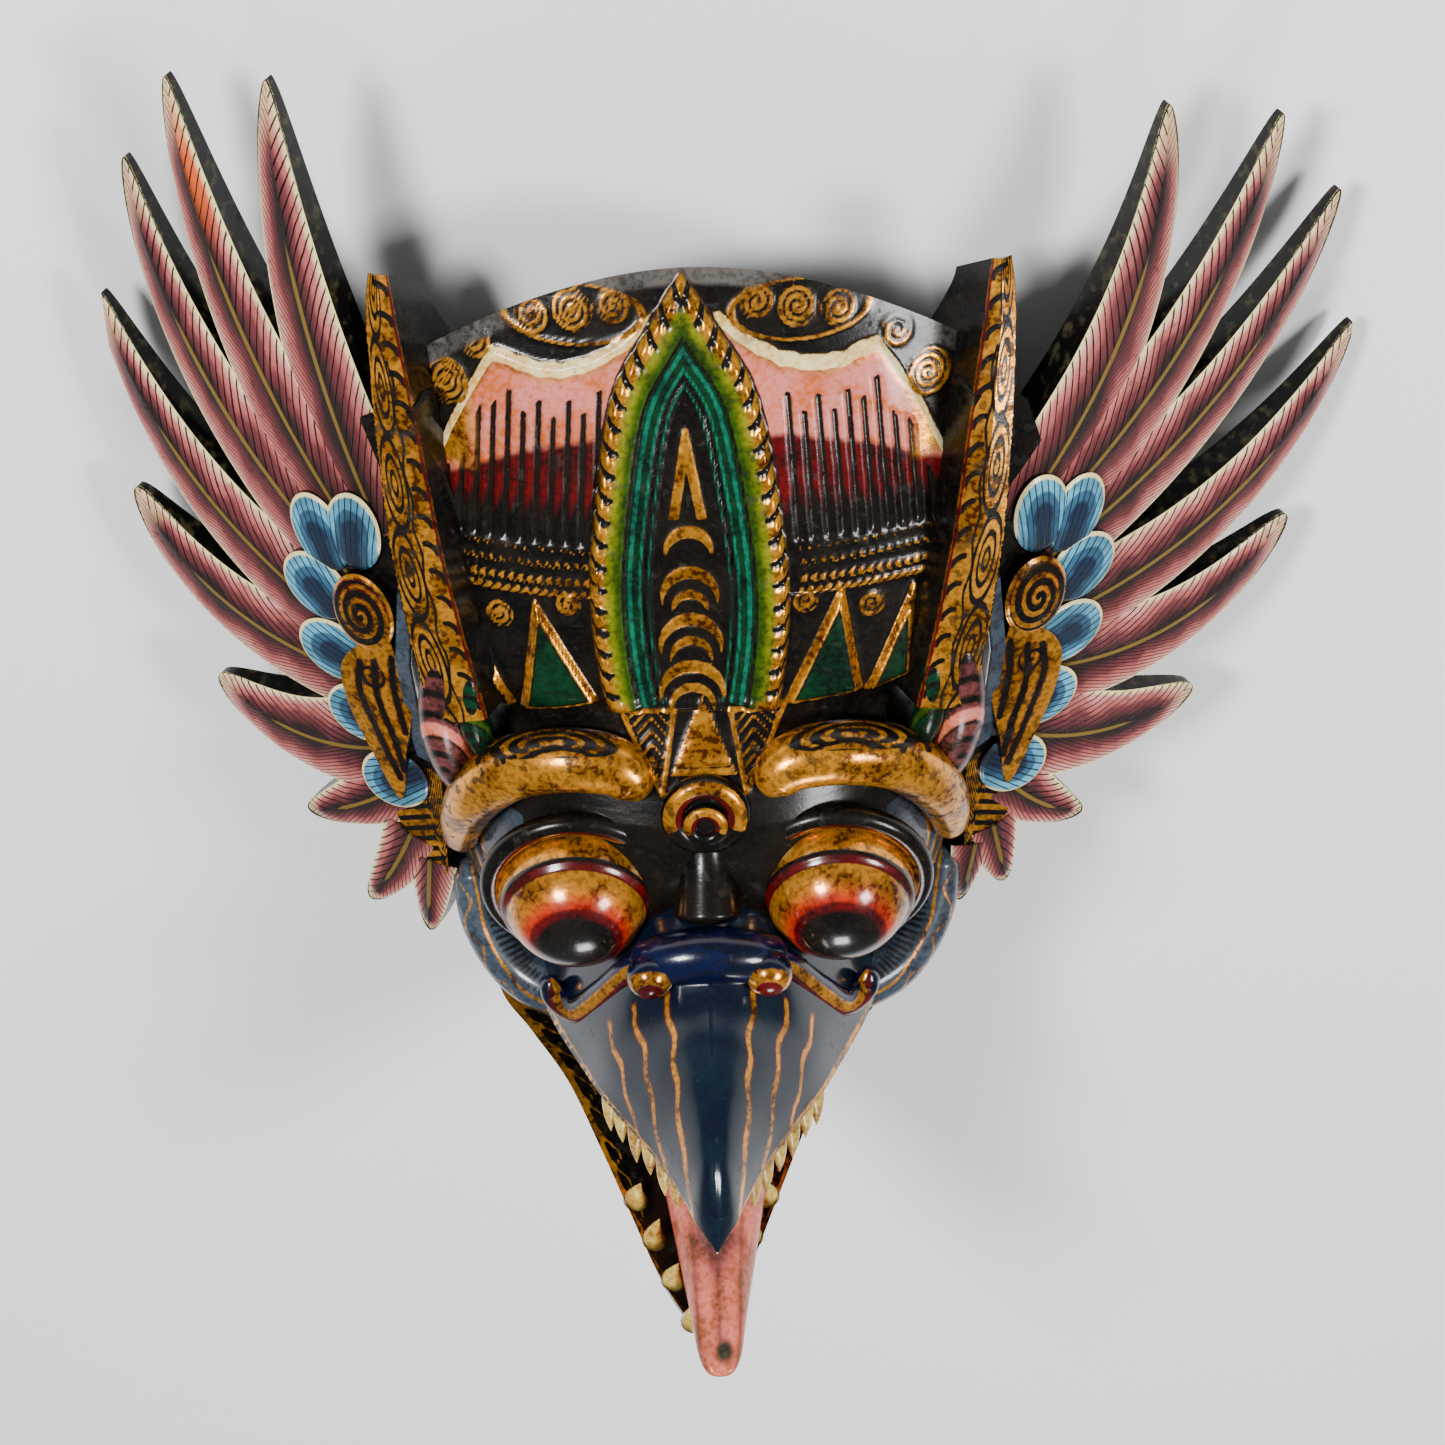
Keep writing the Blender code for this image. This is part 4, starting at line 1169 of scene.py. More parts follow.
class Roll:
    """Rounded carved roll along a line of x, y, z and radius."""

    def __init__(self, name: str, line: Line, side: int, around: int = 40, rows: int = 120) -> None:
        """Smooth the roll's line.

        Args:
            name: name of the piece.
            line: points with a radius each.
            side: -1 for the viewer's left, 1 for the right.
            around: faces around the section.
            rows: faces along the grid.
        """
        self.name = name
        self.side = side
        self.spine = smooth_line(line, 12)
        self.around = around
        self.rows = rows

    def place(self, u: Array, w: Array) -> Array:
        """Point of the roll at a share around it and a share along it.

        Args:
            u: shares around the section.
            w: shares along the roll.

        Returns:
            Points in millimetres, one row each.
        """
        spot = along_line(self.spine, w)
        ahead = along_line(self.spine, w + 0.01)
        behind = along_line(self.spine, w - 0.01)
        along = (ahead - behind)[:, :3]
        along /= np.linalg.norm(along, axis=1, keepdims=True)
        across = np.cross(along, (0, 0, 1))
        across /= np.linalg.norm(across, axis=1, keepdims=True)
        up = np.cross(across, along)
        end = np.sqrt(np.clip(np.minimum(w, 1 - w) * 14, 0, 1))
        radius = (spot[:, 3] * (0.25 + 0.75 * end))[:, None]
        turn = (u * 2 * math.pi - math.pi / 2)[:, None]
        points = spot[:, :3] + radius * (across * np.cos(turn) + up * np.sin(turn))
        return points * np.array([self.side, 1, 1])

    def build(self, paint: bpy.types.Material, areas: Marks) -> bpy.types.Object:
        """Make the roll."""
        body = Body(self.name, self.around, self.rows, self.place).weld()
        return body.finish(paint, areas, "head_paint", 70)


class Ring:
    """Closed carved ring around a centre, its axis tilted up."""

    GRID = (28, 120)

    def __init__(self, name: str, centre: Sequence[float], radius: float, thick: float,
                 tilt: float) -> None:
        """Keep the ring's centre, sizes and tilt.

        Args:
            name: name of the piece.
            centre: its middle.
            radius: its radius in millimetres.
            thick: half thickness in millimetres.
            tilt: lean of the axis in radians.
        """
        self.name = name
        self.centre = np.array(centre, float)
        self.radius = radius
        self.thick = thick
        self.tilt = tilt

    def place(self, u: Array, w: Array) -> Array:
        """Point of the ring at a share around its section and a share around its axis.

        Args:
            u: shares around the section.
            w: shares around the axis.

        Returns:
            Points in millimetres, one row each.
        """
        turn = w * 2 * math.pi
        lean, rise = math.sin(self.tilt), math.cos(self.tilt)
        out = np.stack([np.cos(turn), np.sin(turn) * rise, -np.sin(turn) * lean], -1)
        axis = np.array([0, lean, rise])
        small = (u * 2 * math.pi)[:, None]
        far = self.radius + self.thick * np.cos(small)
        return self.centre + out * far + axis * self.thick * np.sin(small)

    def build(self, paint: bpy.types.Material, areas: Marks) -> bpy.types.Object:
        """Make the ring."""
        body = Body(self.name, *self.GRID, self.place).weld()
        return body.finish(paint, areas, "head_paint", 70)


class Ball:
    """Carved ball, its grid laid round it like a globe."""

    GRID = (110, 70)

    def __init__(self, name: str, centre: Sequence[float], radius: float) -> None:
        """Keep the ball's centre and radius.

        Args:
            name: name of the piece.
            centre: its middle.
            radius: its radius in millimetres.
        """
        self.name = name
        self.centre = np.array(centre, float)
        self.radius = radius

    def place(self, u: Array, w: Array) -> Array:
        """Point of the ball from its longitude and latitude.

        Args:
            u: shares of the longitude.
            w: shares of the latitude.

        Returns:
            Points in millimetres, one row each.
        """
        turn, rise = u * 2 * math.pi, (w - 0.5) * math.pi
        out = np.stack([np.cos(rise) * np.cos(turn), np.cos(rise) * np.sin(turn), np.sin(rise)], -1)
        return self.centre + self.radius * out

    def build(self, paint: bpy.types.Material, areas: Marks) -> bpy.types.Object:
        """Make the ball."""
        body = Body(self.name, *self.GRID, self.place).weld(0.02)
        return body.finish(paint, areas, "head_paint", 180)


class Eye(Ball):
    """Eyeball with its bands, and a lid that stands out over its back."""

    LOOK = np.array([0, -0.14, 0.99])
    LID_FROM = 31
    LID_RISE = 1.3

    def away(self, points: Array) -> Array:
        """Length along the ball from the middle of the pupil."""
        off = points - self.centre
        return np.arccos(np.clip(off @ self.LOOK / np.linalg.norm(off, axis=1), -1, 1)) * self.radius

    def place(self, u: Array, w: Array) -> Array:
        """Point of the ball or of its lid, from its longitude and latitude.

        Args:
            u: shares of the longitude.
            w: shares of the latitude.

        Returns:
            Points in millimetres, one row each.
        """
        points = super().place(u, w)
        lid = self.LID_RISE * ease((self.away(points) - self.LID_FROM) / 1.5)[:, None]
        return points + (points - self.centre) * lid / self.radius

    def bands(self, done: Body, points: Array) -> Areas:
        """Pupil, red iris, gold rings and wine lines, and painted shade on the back of the ball where it
        sinks into its socket.

        Args:
            done: the finished body; not used.
            points: its points in millimetres.

        Returns:
            Depths inside the areas, by name.
        """
        arc = self.away(points)
        lines = join(0.3 - np.abs(arc - 24.6), 0.25 - np.abs(arc - 27), 0.5 - np.abs(arc - 42))
        # The last value is painted shade on the back of the ball, where it sinks into its socket.
        return {"gold": join(both(arc - 18, 30.0 - arc), arc - 34.5), "red": both(22.0 - arc, arc + 1),
                "wine": join(both(arc - 12, 17 - arc), both(arc - 30.0, 32.6 - arc), lines),
                "pupil": 14.0 - arc, "recess": ease((-2 - points[:, 2] + self.centre[2]) / 8) * 0.9}


@dataclass(frozen=True)
class Face:
    """Eyes, lids, brows, bridge, cere, nostrils, whiskers, cheeks and forehead ornament."""

    paints: PaintBox
    eye_spot: tuple = (44.5, -66.5, 120)
    eye_radius: float = 25.5
    lid_offset: tuple = (0, 2.5, -2)
    lid_radius: int = 29
    lid_thick: int = 4
    lid_tilt: float = math.radians(-4)
    brow_line: tuple = ((19, -22, 121, 7), (30, -13, 117, 10), (47, -12, 114, 11), (64, -20, 108, 11),
                        (77, -38, 99, 10), (84, -60, 88, 8), (86, -80, 80, 5))
    bridge_line: tuple = ((0, -38, 117, 7), (0, -52, 124, 9), (0, -68, 136, 12))
    cere_line: tuple = ((-26, -79, 141, 6), (-14, -75, 145, 9), (0, -73, 146, 10), (14, -75, 145, 9),
                        (26, -79, 141, 6))
    nostril_spot: tuple = (20, -78, 150)
    nostril_radius: int = 8
    whisker_line: tuple = ((17, -74, 144, 4), (27, -86, 138, 4.8), (37, -104, 131, 5.4),
                           (46, -118, 124, 5.4), (54, -118, 117, 5), (56, -110, 116, 3.5))
    cheek_line: tuple = ((84, -92, 72, 7), (79, -114, 82, 9), (66, -129, 93, 10), (48, -133, 104, 9))
    ring_sizes: tuple = (("forehead_ring", (0, -31, 122), 11, 4, 0.2),
                         ("forehead_ring_inner", (0, -34, 124), 5.5, 2.6, 0.2))

    def eye(self, side: int) -> None:
        """One eyeball and the ring of its lid.

        Args:
            side: -1 for the viewer's left, 1 for the right.
        """
        def lid(done: Body, points: Array) -> Areas:
            """Gold and wine bands of the lid."""
            return {"gold": 1.3 - np.abs(done.u - 0.36) * 28, "wine": 0.7 - np.abs(done.u - 0.28) * 28,
                    "notch": BARE}

        centre = np.array(self.eye_spot) * (side, 1, 1)
        ball = Eye(f"eye_{side_name(side)}", centre, self.eye_radius)
        ball.build(self.paints.eye, ball.bands)
        Ring(f"lid_{side_name(side)}", centre + self.lid_offset, self.lid_radius, self.lid_thick,
             self.lid_tilt).build(self.paints.gilt, lid)

    def brow(self, side: int) -> None:
        """One brow: gilt roll with a black almond of gold curls on it.

        Args:
            side: -1 for the viewer's left, 1 for the right.
        """
        def marks(done: Body, points: Array) -> Areas:
            """Gilt ground with the almond, its curls and a hook, and painted shade over the almond and the
            hook.

            Args:
                done: the finished body.
                points: its points in millimetres.

            Returns:
                Depths inside the areas, by name.
            """
            x = points[:, 0] * side
            seen = points[:, 1] * 0.766 - points[:, 2] * 0.643
            middle = -76.5 - ((x - 50) / 20) ** 2 * 2.5
            away = np.hypot((x - 50) / 22, (seen - middle) / 5.4)
            almond = both((1 - away) * 7, (done.u - 0.42) * 60)
            curls = both((0.17 - np.abs((away * 3.3) % 1.0 - 0.5)) * 2.6, almond - 0.4)
            hook = both(1.1 - np.abs(np.hypot(x - 71, seen + 83) - 4.5), seen + 83.5)
            notch = join(both(almond, -curls), hook)
            # The last value is painted shade over the almond and the hook.
            return {"gold": 3.0, "notch": notch, "wine": 1.4 - np.abs((done.u - 0.30) * 50),
                    "recess": np.clip(notch, 0, 1) * 0.3}

        Roll(f"brow_{side_name(side)}", self.brow_line, side, 56, 160).build(self.paints.gilt, marks)

    def nose(self) -> None:
        """Bridge, cere and nostrils."""
        def plain(done: Body, points: Array) -> Areas:
            """No marks at all."""
            return {"gold": BARE, "wine": BARE, "notch": BARE}

        Roll("bridge", self.bridge_line, 1, 40, 60).build(self.paints.gilt, plain)
        Roll("cere", self.cere_line, 1, 40, 100).build(self.paints.cere, plain)

        def knob(done: Body, points: Array) -> Areas:
            """Gold arc and wine middle of a nostril.

            Args:
                done: the finished body; not used.
                points: its points in millimetres.

            Returns:
                Depths inside the areas, by name.
            """
            off = points - points.mean(0)
            arc = np.hypot(off[:, 0], off[:, 1] + 1.5)
            return {"gold": both(1.7 - np.abs(arc - 6.2), off[:, 1] + 3), "wine": 4.4 - arc}

        def whisker(done: Body, points: Array) -> Areas:
            """Gold and wine lines along a whisker."""
            return {"gold": 1.5 - np.abs((done.u - 0.60) * 28), "wine": 1.3 - np.abs((done.u - 0.50) * 28)}

        for side in (-1, 1):
            name = side_name(side)
            ball = Ball(f"nostril_{name}", np.array(self.nostril_spot) * (side, 1, 1), self.nostril_radius)
            ball.build(self.paints.cere, knob)
            Roll(f"whisker_{name}", self.whisker_line, side, 24, 90).build(self.paints.cere, whisker)

    def cheek(self, side: int) -> None:
        """Roll at the corner of the mouth.

        Args:
            side: -1 for the viewer's left, 1 for the right.
        """
        def marks(done: Body, points: Array) -> Areas:
            """Black ticks and gold curls of the cheek.

            Args:
                done: the finished body.
                points: its points in millimetres; not used.

            Returns:
                Depths inside the areas, by name.
            """
            across = (done.u - 0.5) * 50
            beat = (done.w * 26 + across * 0.12) % 1.0
            ticks = both((0.24 - np.abs(beat - 0.5)) * 3.4, 3.2 - np.abs(across + 6))
            curl = 0.5 - np.abs(across - 4 - 2.2 * np.sin(done.w * 26))
            return {"gold": join(curl, 0.5 - np.abs(across + 1.2)), "groove": ticks}

        Roll(f"cheek_{side_name(side)}", self.cheek_line, side, 40, 90).build(self.paints.plate, marks)

    def forehead(self) -> None:
        """Ring ornament between the brows."""
        def marks(done: Body, points: Array) -> Areas:
            """Gold and wine bands on the upper part of a ring.

            Args:
                done: the finished body.
                points: its points in millimetres; not used.

            Returns:
                Depths inside the areas, by name.
            """
            upper = (np.sin(done.w * 2 * math.pi) + 0.35) * 6
            return {"gold": both(2.0 - np.abs(done.u - 0.20) * 22, upper), "notch": BARE,
                    "wine": both(2.2 - np.abs(done.u - 0.40) * 22, upper)}

        for ring in self.ring_sizes:
            Ring(*ring).build(self.paints.gilt, marks)

    def build(self) -> None:
        """Make the face's carved pieces."""
        for side in (-1, 1):
            self.eye(side)
            self.brow(side)
            self.cheek(side)
        self.nose()
        self.forehead()


@dataclass(frozen=True)
class Mouth:
    """Upper beak, lower jaw, tongue and teeth."""

    paints: PaintBox
    beak_rows: tuple = ((96, -52, -132, 62), (118, -58, -132, 55), (140, -66, -132, 45),
                        (155, -80, -131, 38), (170, -87, -130.5, 29), (185, -94, -130.5, 20),
                        (202, -104, -131, 11.5), (213, -115, -132, 7), (223, -135, -135.5, 0.3))
    beak_section: tuple = ((0, 0), (0.32, 0.10), (0.62, 0.34), (0.86, 0.68), (1, 1))
    jaw_rows: tuple = ((56, -128, -156, 76), (88, -140, -165, 71), (108, -144, -172, 59),
                       (128, -150, -180, 46), (150, -161, -188, 35), (168, -172, -194, 26),
                       (190, -186, -202, 14.5), (208, -198.6, -199.4, 0.3))
    jaw_section: tuple = ((1, 0), (0.86, 0.45), (0.5, 0.98), (0, 1))
    jaw_aside: int = -5
    tongue_rows: tuple = ((92, -134, -152, 32), (130, -141, -162, 25), (155, -147, -174, 20),
                          (180, -156, -188, 15), (195, -165, -195, 12), (210, -174, -192, 9.5),
                          (222, -182, -194, 7.4), (229, -186.5, -191.5, 4.5), (230.9, -188.6, -189.4, 0.3))
    beak_top: float = 0.75
    beak_lines: tuple = ((0.36, 0.86, 0.30), (0.33, 0.68, 0.52), (0.29, 0.54, 0.70))
    jaw_under: float = 0.6
    tooth_radius: float = 4.6
    upper_teeth: int = 6
    lower_teeth: int = 4
    upper_row: tuple = (150, 40)
    lower_row: tuple = (164, 36)

    @staticmethod
    def rows(line: Line, w: Array) -> tuple[Array, Array, Array, Array]:
        """Depth and three more columns of a line, read at a share along it."""
        spot = along_line(smooth_line(line, 8), w)
        return spot[:, 0], spot[:, 1], spot[:, 2], np.maximum(spot[:, 3], 0.2)

    @staticmethod
    def section(corners: Array, u: Array) -> tuple[Array, Array]:
        """Point on a smooth half section at a share from its first corner to its last."""
        spot = along_line(smooth_line(corners, 6), u)
        return spot[:, 0], spot[:, 1]

    def beak(self) -> None:
        """Hooked upper beak with gold lines from the cere to its edge."""
        middle = self.beak_top / 2

        def place(u: Array, w: Array) -> Array:
            """Point of the beak: its top first, then its underside.

            Args:
                u: shares across the grid.
                w: shares up the grid.

            Returns:
                Points in millimetres, one row each.
            """
            depth, ridge, edge, half = self.rows(self.beak_rows, w)
            over = np.clip(np.abs(u - middle) / middle, 0, 1)
            x, down = self.section(self.beak_section, over)
            x = np.where(u < middle, -x, x) * half
            y = ridge + down * (edge - ridge)
            under = np.clip((u - self.beak_top) / (1 - self.beak_top), 0, 1)
            rise = 0.08 * half * (1 - np.abs(1 - 2 * under)) - 0.6 * np.sin(math.pi * under)
            beneath = u > self.beak_top
            x = np.where(beneath, half * (1 - 2 * under), x)
            return np.stack([x, np.where(beneath, edge + rise, y), depth], -1)

        def marks(done: Body, points: Array) -> Areas:
            """Gold lines with wine edges, and the gold rim.

            Args:
                done: the finished body.
                points: its points in millimetres; not used.

            Returns:
                Depths inside the areas, by name.
            """
            over = np.abs(done.u - middle) / middle
            top = (self.beak_top - done.u) * 100
            width = self.rows(self.beak_rows, done.w)[3]
            gold = both(0.9 - (1 - over) * 30, top)
            wine = np.full(done.u.shape, -5.0)
            for start, stop, spread in self.beak_lines:
                share = (done.w - start) / (stop - start)
                line = spread + (1.0 - spread) * np.clip(share, 0, 1) ** 2.2
                off = np.abs(over - line + 0.016 * np.sin(done.w * 52 + 9 * spread))
                ends = both((done.w - start + 0.02) * 100, (stop - done.w) * 200)
                wine = join(wine, both(0.62 - off * width * 1.1, ends, top))
            return {"gold": join(gold, wine), "wine": wine + 0.35}

        body = Body("upper_beak", 120, 170, place).weld(0.01)
        body.finish(self.paints.beak, marks, "head_paint", 45)

    def jaw(self) -> None:
        """Trough of the lower jaw."""
        def place(u: Array, w: Array) -> Array:
            """Point of the jaw: its underside first, then its trough.

            Args:
                u: shares across the grid.
                w: shares up the grid.

            Returns:
                Points in millimetres, one row each.
            """
            depth, rim, keel, half = self.rows(self.jaw_rows, w)
            under = np.clip(u / self.jaw_under, 0, 1)
            x, down = self.section(self.jaw_section, np.abs(1 - np.abs(1 - 2 * under)))
            x = np.where(under > 0.5, -x, x) * half
            y = rim + down * (keel - rim)
            over = np.clip((u - self.jaw_under) / (1 - self.jaw_under), 0, 1)
            trough = np.minimum(6, 0.3 * (rim - keel))
            inner = u > self.jaw_under
            x = np.where(inner, -half + 2 * half * over, x)
            y = np.where(inner, rim - trough * np.sin(math.pi * over) ** 0.7, y)
            return np.stack([x + self.jaw_aside, y, depth], -1)

        def marks(done: Body, points: Array) -> Areas:
            """Gold lip and wavy gold lines of the trough, and painted shade away from the lips, under the
            jaw and down in the trough.

            Args:
                done: the finished body.
                points: its points in millimetres; not used.

            Returns:
                Depths inside the areas, by name.
            """
            edge = np.minimum(np.abs(done.u - self.jaw_under), np.minimum(done.u, 1 - done.u)) * 160
            ticks = both(0.5 - np.abs(edge - 4.5 - 1.5 * np.sin(done.w * 90)), done.u - self.jaw_under)
            # The last value is painted shade, darker the farther a point is from the lips.
            return {"gold": join(0.9 - np.abs(edge - 1.0), ticks), "wine": BARE, "notch": BARE,
                    "recess": ease((edge - 8) / 20) * 0.6}

        body = Body("lower_jaw", 110, 150, place).weld(0.01)
        body.finish(self.paints.gilt, marks, "head_paint", 45)

    def tongue(self) -> None:
        """Tongue with a furrow down its middle."""
        def place(u: Array, w: Array) -> Array:
            """Point of the tongue around its section.

            Args:
                u: shares across the grid.
                w: shares up the grid.

            Returns:
                Points in millimetres, one row each.
            """
            depth, top, under, half = self.rows(self.tongue_rows, w)
            turn = 2 * math.pi * u
            middle = (top + under) / 2
            thick = np.maximum((top - under) / 2 - 0.06 * half, 0.2)
            x = half * np.sign(np.sin(turn)) * np.abs(np.sin(turn)) ** 0.85
            y = middle + thick * np.cos(turn)
            groove = 0.9 * np.exp(-(x / 2.2) ** 2) * (np.cos(turn) > 0) * ease((1 - w) * 8)
            return np.stack([x, y - groove, depth], -1)

        def marks(done: Body, points: Array) -> Areas:
            """Furrow, worn middle, dark spot and edges of the tongue.

            Args:
                done: the finished body; not used.
                points: its points in millimetres.

            Returns:
                Depths inside the areas, by name.
            """
            x, _, z = points.T
            furrow = both(0.4 - np.abs(x), z - 195, 222 - z)
            spot = 3.0 - np.hypot(x - 1.5, (z - 224) * 0.9)
            edge = 1.2 - np.abs(np.abs(x) - 9 + 0.05 * (z - 180)) - 0.9
            return {"wine": join((150 - z) * 0.3, furrow, 5 - np.abs(z - 190) * 0.35 - np.abs(x) * 0.6),
                    "groove": join(spot, edge)}

        body = Body("tongue", 64, 150, place).weld(0.01)
        body.finish(self.paints.tongue, marks, "head_paint", 70)

    def tooth(self, name: str, root: Array, point: Array, bend: Array) -> None:
        """One pointed tooth.

        Args:
            name: name of the piece.
            root: foot of the tooth.
            point: tip of the tooth.
            bend: how far its middle is bent aside.
        """
        along = (point - root) / np.linalg.norm(point - root)
        across = np.cross(along, (0, 0, 1))
        across /= np.linalg.norm(across)
        up = np.cross(across, along)

        def place(u: Array, w: Array) -> Array:
            """Point of the tooth around its bent middle line.

            Args:
                u: shares across the grid.
                w: shares up the grid.

            Returns:
                Points in millimetres, one row each.
            """
            turn = (2 * math.pi * u)[:, None]
            radius = (self.tooth_radius * np.maximum(1 - w, 0.02) ** 0.8)[:, None]
            centre = root + (point - root) * w[:, None] + bend * (np.sin(math.pi * w))[:, None]
            return centre + radius * (across * np.cos(turn) + up * np.sin(turn))

        def marks(done: Body, points: Array) -> Areas:
            """Dark root of the tooth."""
            return {"groove": 1.5 - done.w * 9}

        body = Body(name, 18, 16, place).weld(0.002)
        body.finish(self.paints.ivory, marks, "head_paint", 70)

    def teeth(self, side: int) -> None:
        """Upper and lower teeth of one side.

        Args:
            side: -1 for the viewer's left, 1 for the right.
        """
        name = side_name(side)
        bend = np.array([side * 0.9, 0, 0.6])
        for i in range(self.upper_teeth):
            depth = self.upper_row[0] + self.upper_row[1] * i / (self.upper_teeth - 1)
            edge, half = (float(read(self.beak_rows, depth, column)) for column in (2, 3))
            root = np.array([side * (half - 6.5), edge + 1, depth])
            point = np.array([side * (half - 4.5), edge - 18 + 2 * (i % 2), depth + 3])
            self.tooth(f"upper_tooth_{name}_{i + 1}", root, point, bend)
        for i in range(self.lower_teeth):
            depth = self.lower_row[0] + self.lower_row[1] * i / (self.lower_teeth - 1)
            rim, half = (float(read(self.jaw_rows, depth, column)) for column in (1, 3))
            root = np.array([side * max(half - 5, 4) + self.jaw_aside, rim - 4, depth])
            self.tooth(f"lower_tooth_{name}_{i + 1}", root, root + (-side * 2, 11 + 2 * (i % 2), 2), bend)

    def build(self) -> None:
        """Make the mouth's pieces."""
        self.beak()
        self.jaw()
        self.tongue()
        for side in (-1, 1):
            self.teeth(side)


@dataclass(frozen=True)
class SidePlate:
    """Long plate down the side of the face, with a curled petal and a small leaf at the blade's foot."""

    paints: PaintBox
    side: int
    line: tuple = ((-88, 64), (-62, 72), (-30, 78), (4, 82), (34, 84))
    outer: tuple = ((-88, 92), (-62, 97), (-30, 101), (4, 103), (34, 100))
    stops: tuple = (0, 0.2, 0.55, 0.7, 0.85, 1.0)
    foot: int = -88
    height: int = 122
    back: int = 12
    petal: tuple = ((86, 27, 96, 2), (87, 13, 98, 6), (87, -5, 98, 8), (85, -25, 94, 8), (81, -42, 90, 6),
                    (75, -50, 90, 3))
    leaf_corners: tuple = ((77, 20, 98, 2), (77, 8, 101, 4.5), (76, -6, 101, 5.5), (72, -20, 100, 4.5),
                           (69, -26, 101, 2.5))

    def place(self, u: Array, w: Array) -> Array:
        """Point of the plate at a share around its section and a share up it.

        Args:
            u: shares across the grid.
            w: shares up the grid.

        Returns:
            Points in millimetres, one row each.
        """
        y = self.foot + self.height * w
        front, outer = read(self.line, y), read(self.outer, y)
        back = np.full(len(u), float(self.back))
        xs = np.array([outer, outer - 5, outer - 18, outer - 18, outer, outer])
        zs = np.array([front - 3, front, front - 2, back, back, front - 3])
        x, z = np.zeros(len(u)), np.zeros(len(u))
        for i, (start, end) in enumerate(zip(self.stops, self.stops[1:])):
            share = np.clip((u - start) / (end - start), 0, 1)
            here = (u >= start) & (u <= end)
            x = np.where(here, xs[i] + (xs[i + 1] - xs[i]) * share, x)
            z = np.where(here, zs[i] + (zs[i + 1] - zs[i]) * share, z)
        return np.stack([self.side * x, y, z], -1)

    def marks(self, done: Body, points: Array) -> Areas:
        """Two black grooves and a gold line down the plate.

        Args:
            done: the finished body.
            points: its points in millimetres; not used.

        Returns:
            Depths inside the areas, by name.
        """
        outer = 0.8 - np.abs((done.u - 0.22) * 26)
        inner = 0.8 - np.abs((done.u - 0.5) * 40)
        return {"groove": join(outer, inner), "gold": 0.5 - np.abs((done.u - 0.56) * 40)}

    def curl(self, done: Body, points: Array) -> Areas:
        """Rings on a petal, and its pale rim.

        Args:
            done: the finished body.
            points: its points in millimetres; not used.

        Returns:
            Depths inside the areas, by name.
        """
        around = np.hypot((done.u - 0.55) * 44, (done.w - 0.62) * 40)
        rings = (0.2 - np.abs((around / 3.4) % 1.0 - 0.5)) * 3
        return {"groove": rings, "border": 1.0 - np.abs(around - 9.5)}

    def build(self) -> None:
        """Make the plate, the petal and the leaf."""
        name = side_name(self.side)
        plate = Body(f"side_plate_{name}", 50, 120, self.place).weld()
        plate.finish(self.paints.plate, self.marks, "head_paint", 40)
        Roll(f"curled_petal_{name}", self.petal, self.side, 32, 80).build(self.paints.rose, self.curl)
        Roll(f"small_leaf_{name}", self.leaf_corners, self.side, 28, 60).build(self.paints.green, self.curl)


@dataclass(frozen=True)
class WingSize:
    """One wing: its side, how far it is swept back, and its feathers."""

    side: int
    sweep: float
    feathers: tuple


LEFT_WING = WingSize(-1, 28, (
    (217.5, 80.1, 0.10, 18.5, 10, 51), (219.7, 70, 0.13, 17.5, 18.5, 44), (197, 61, 0.18, 17, 25, 30),
    (162, 45.8, 0.22, 18, 31, 6), (116.5, 19, 0.29, 19, 30, -14), (93.2, -23.1, 0.28, 22, 20, -45),
    (103.2, -58.3, 0.10, 14, 17, -64), (126.3, -75.6, 0.06, 12, 10, -82), (128.4, -87, 0.0, 10, 3, -92)))
RIGHT_WING = WingSize(1, 26, (
    (201, 72, 0.19, 19, 11, 49), (205, 58.9, 0.17, 18, 19, 42), (192, 46.7, 0.19, 17.5, 25, 29),
    (166, 30.6, 0.26, 19, 31, 2), (123.5, 5, 0.30, 20, 30, -20), (104.1, -30.8, 0.23, 22, 16, -44),
    (104.6, -64.3, 0.12, 14, 13, -66), (115.1, -83.1, 0.0, 11, 7, -84), (115.9, -92.4, 0.0, 9, 0, -90)))


def rounded(u: Array, w: Array) -> tuple[Array, Array]:
    """Square grid bent to a disc with a radius of 1."""
    a, b = 2 * u - 1, 2 * w - 1
    return a * np.sqrt(1 - b * b / 2), b * np.sqrt(1 - a * a / 2)


def stretched(u: Array, w: Array, middle: Array, ring: Array) -> tuple[Array, Array]:
    """Square grid stretched from a middle to an outline.

    Args:
        u: shares across the grid.
        w: shares up the grid.
        middle: the point that the grid's middle goes to.
        ring: closed outline that its edge goes to.

    Returns:
        Points, and how far out each lies, from 0 to 1.
    """
    a, b = 2 * u - 1, 2 * w - 1
    far = np.maximum(np.abs(a), np.abs(b))
    edge = along_line(ring, (np.arctan2(b, a) / (2 * math.pi)) % 1.0)
    return middle + (edge - middle) * far[:, None], far


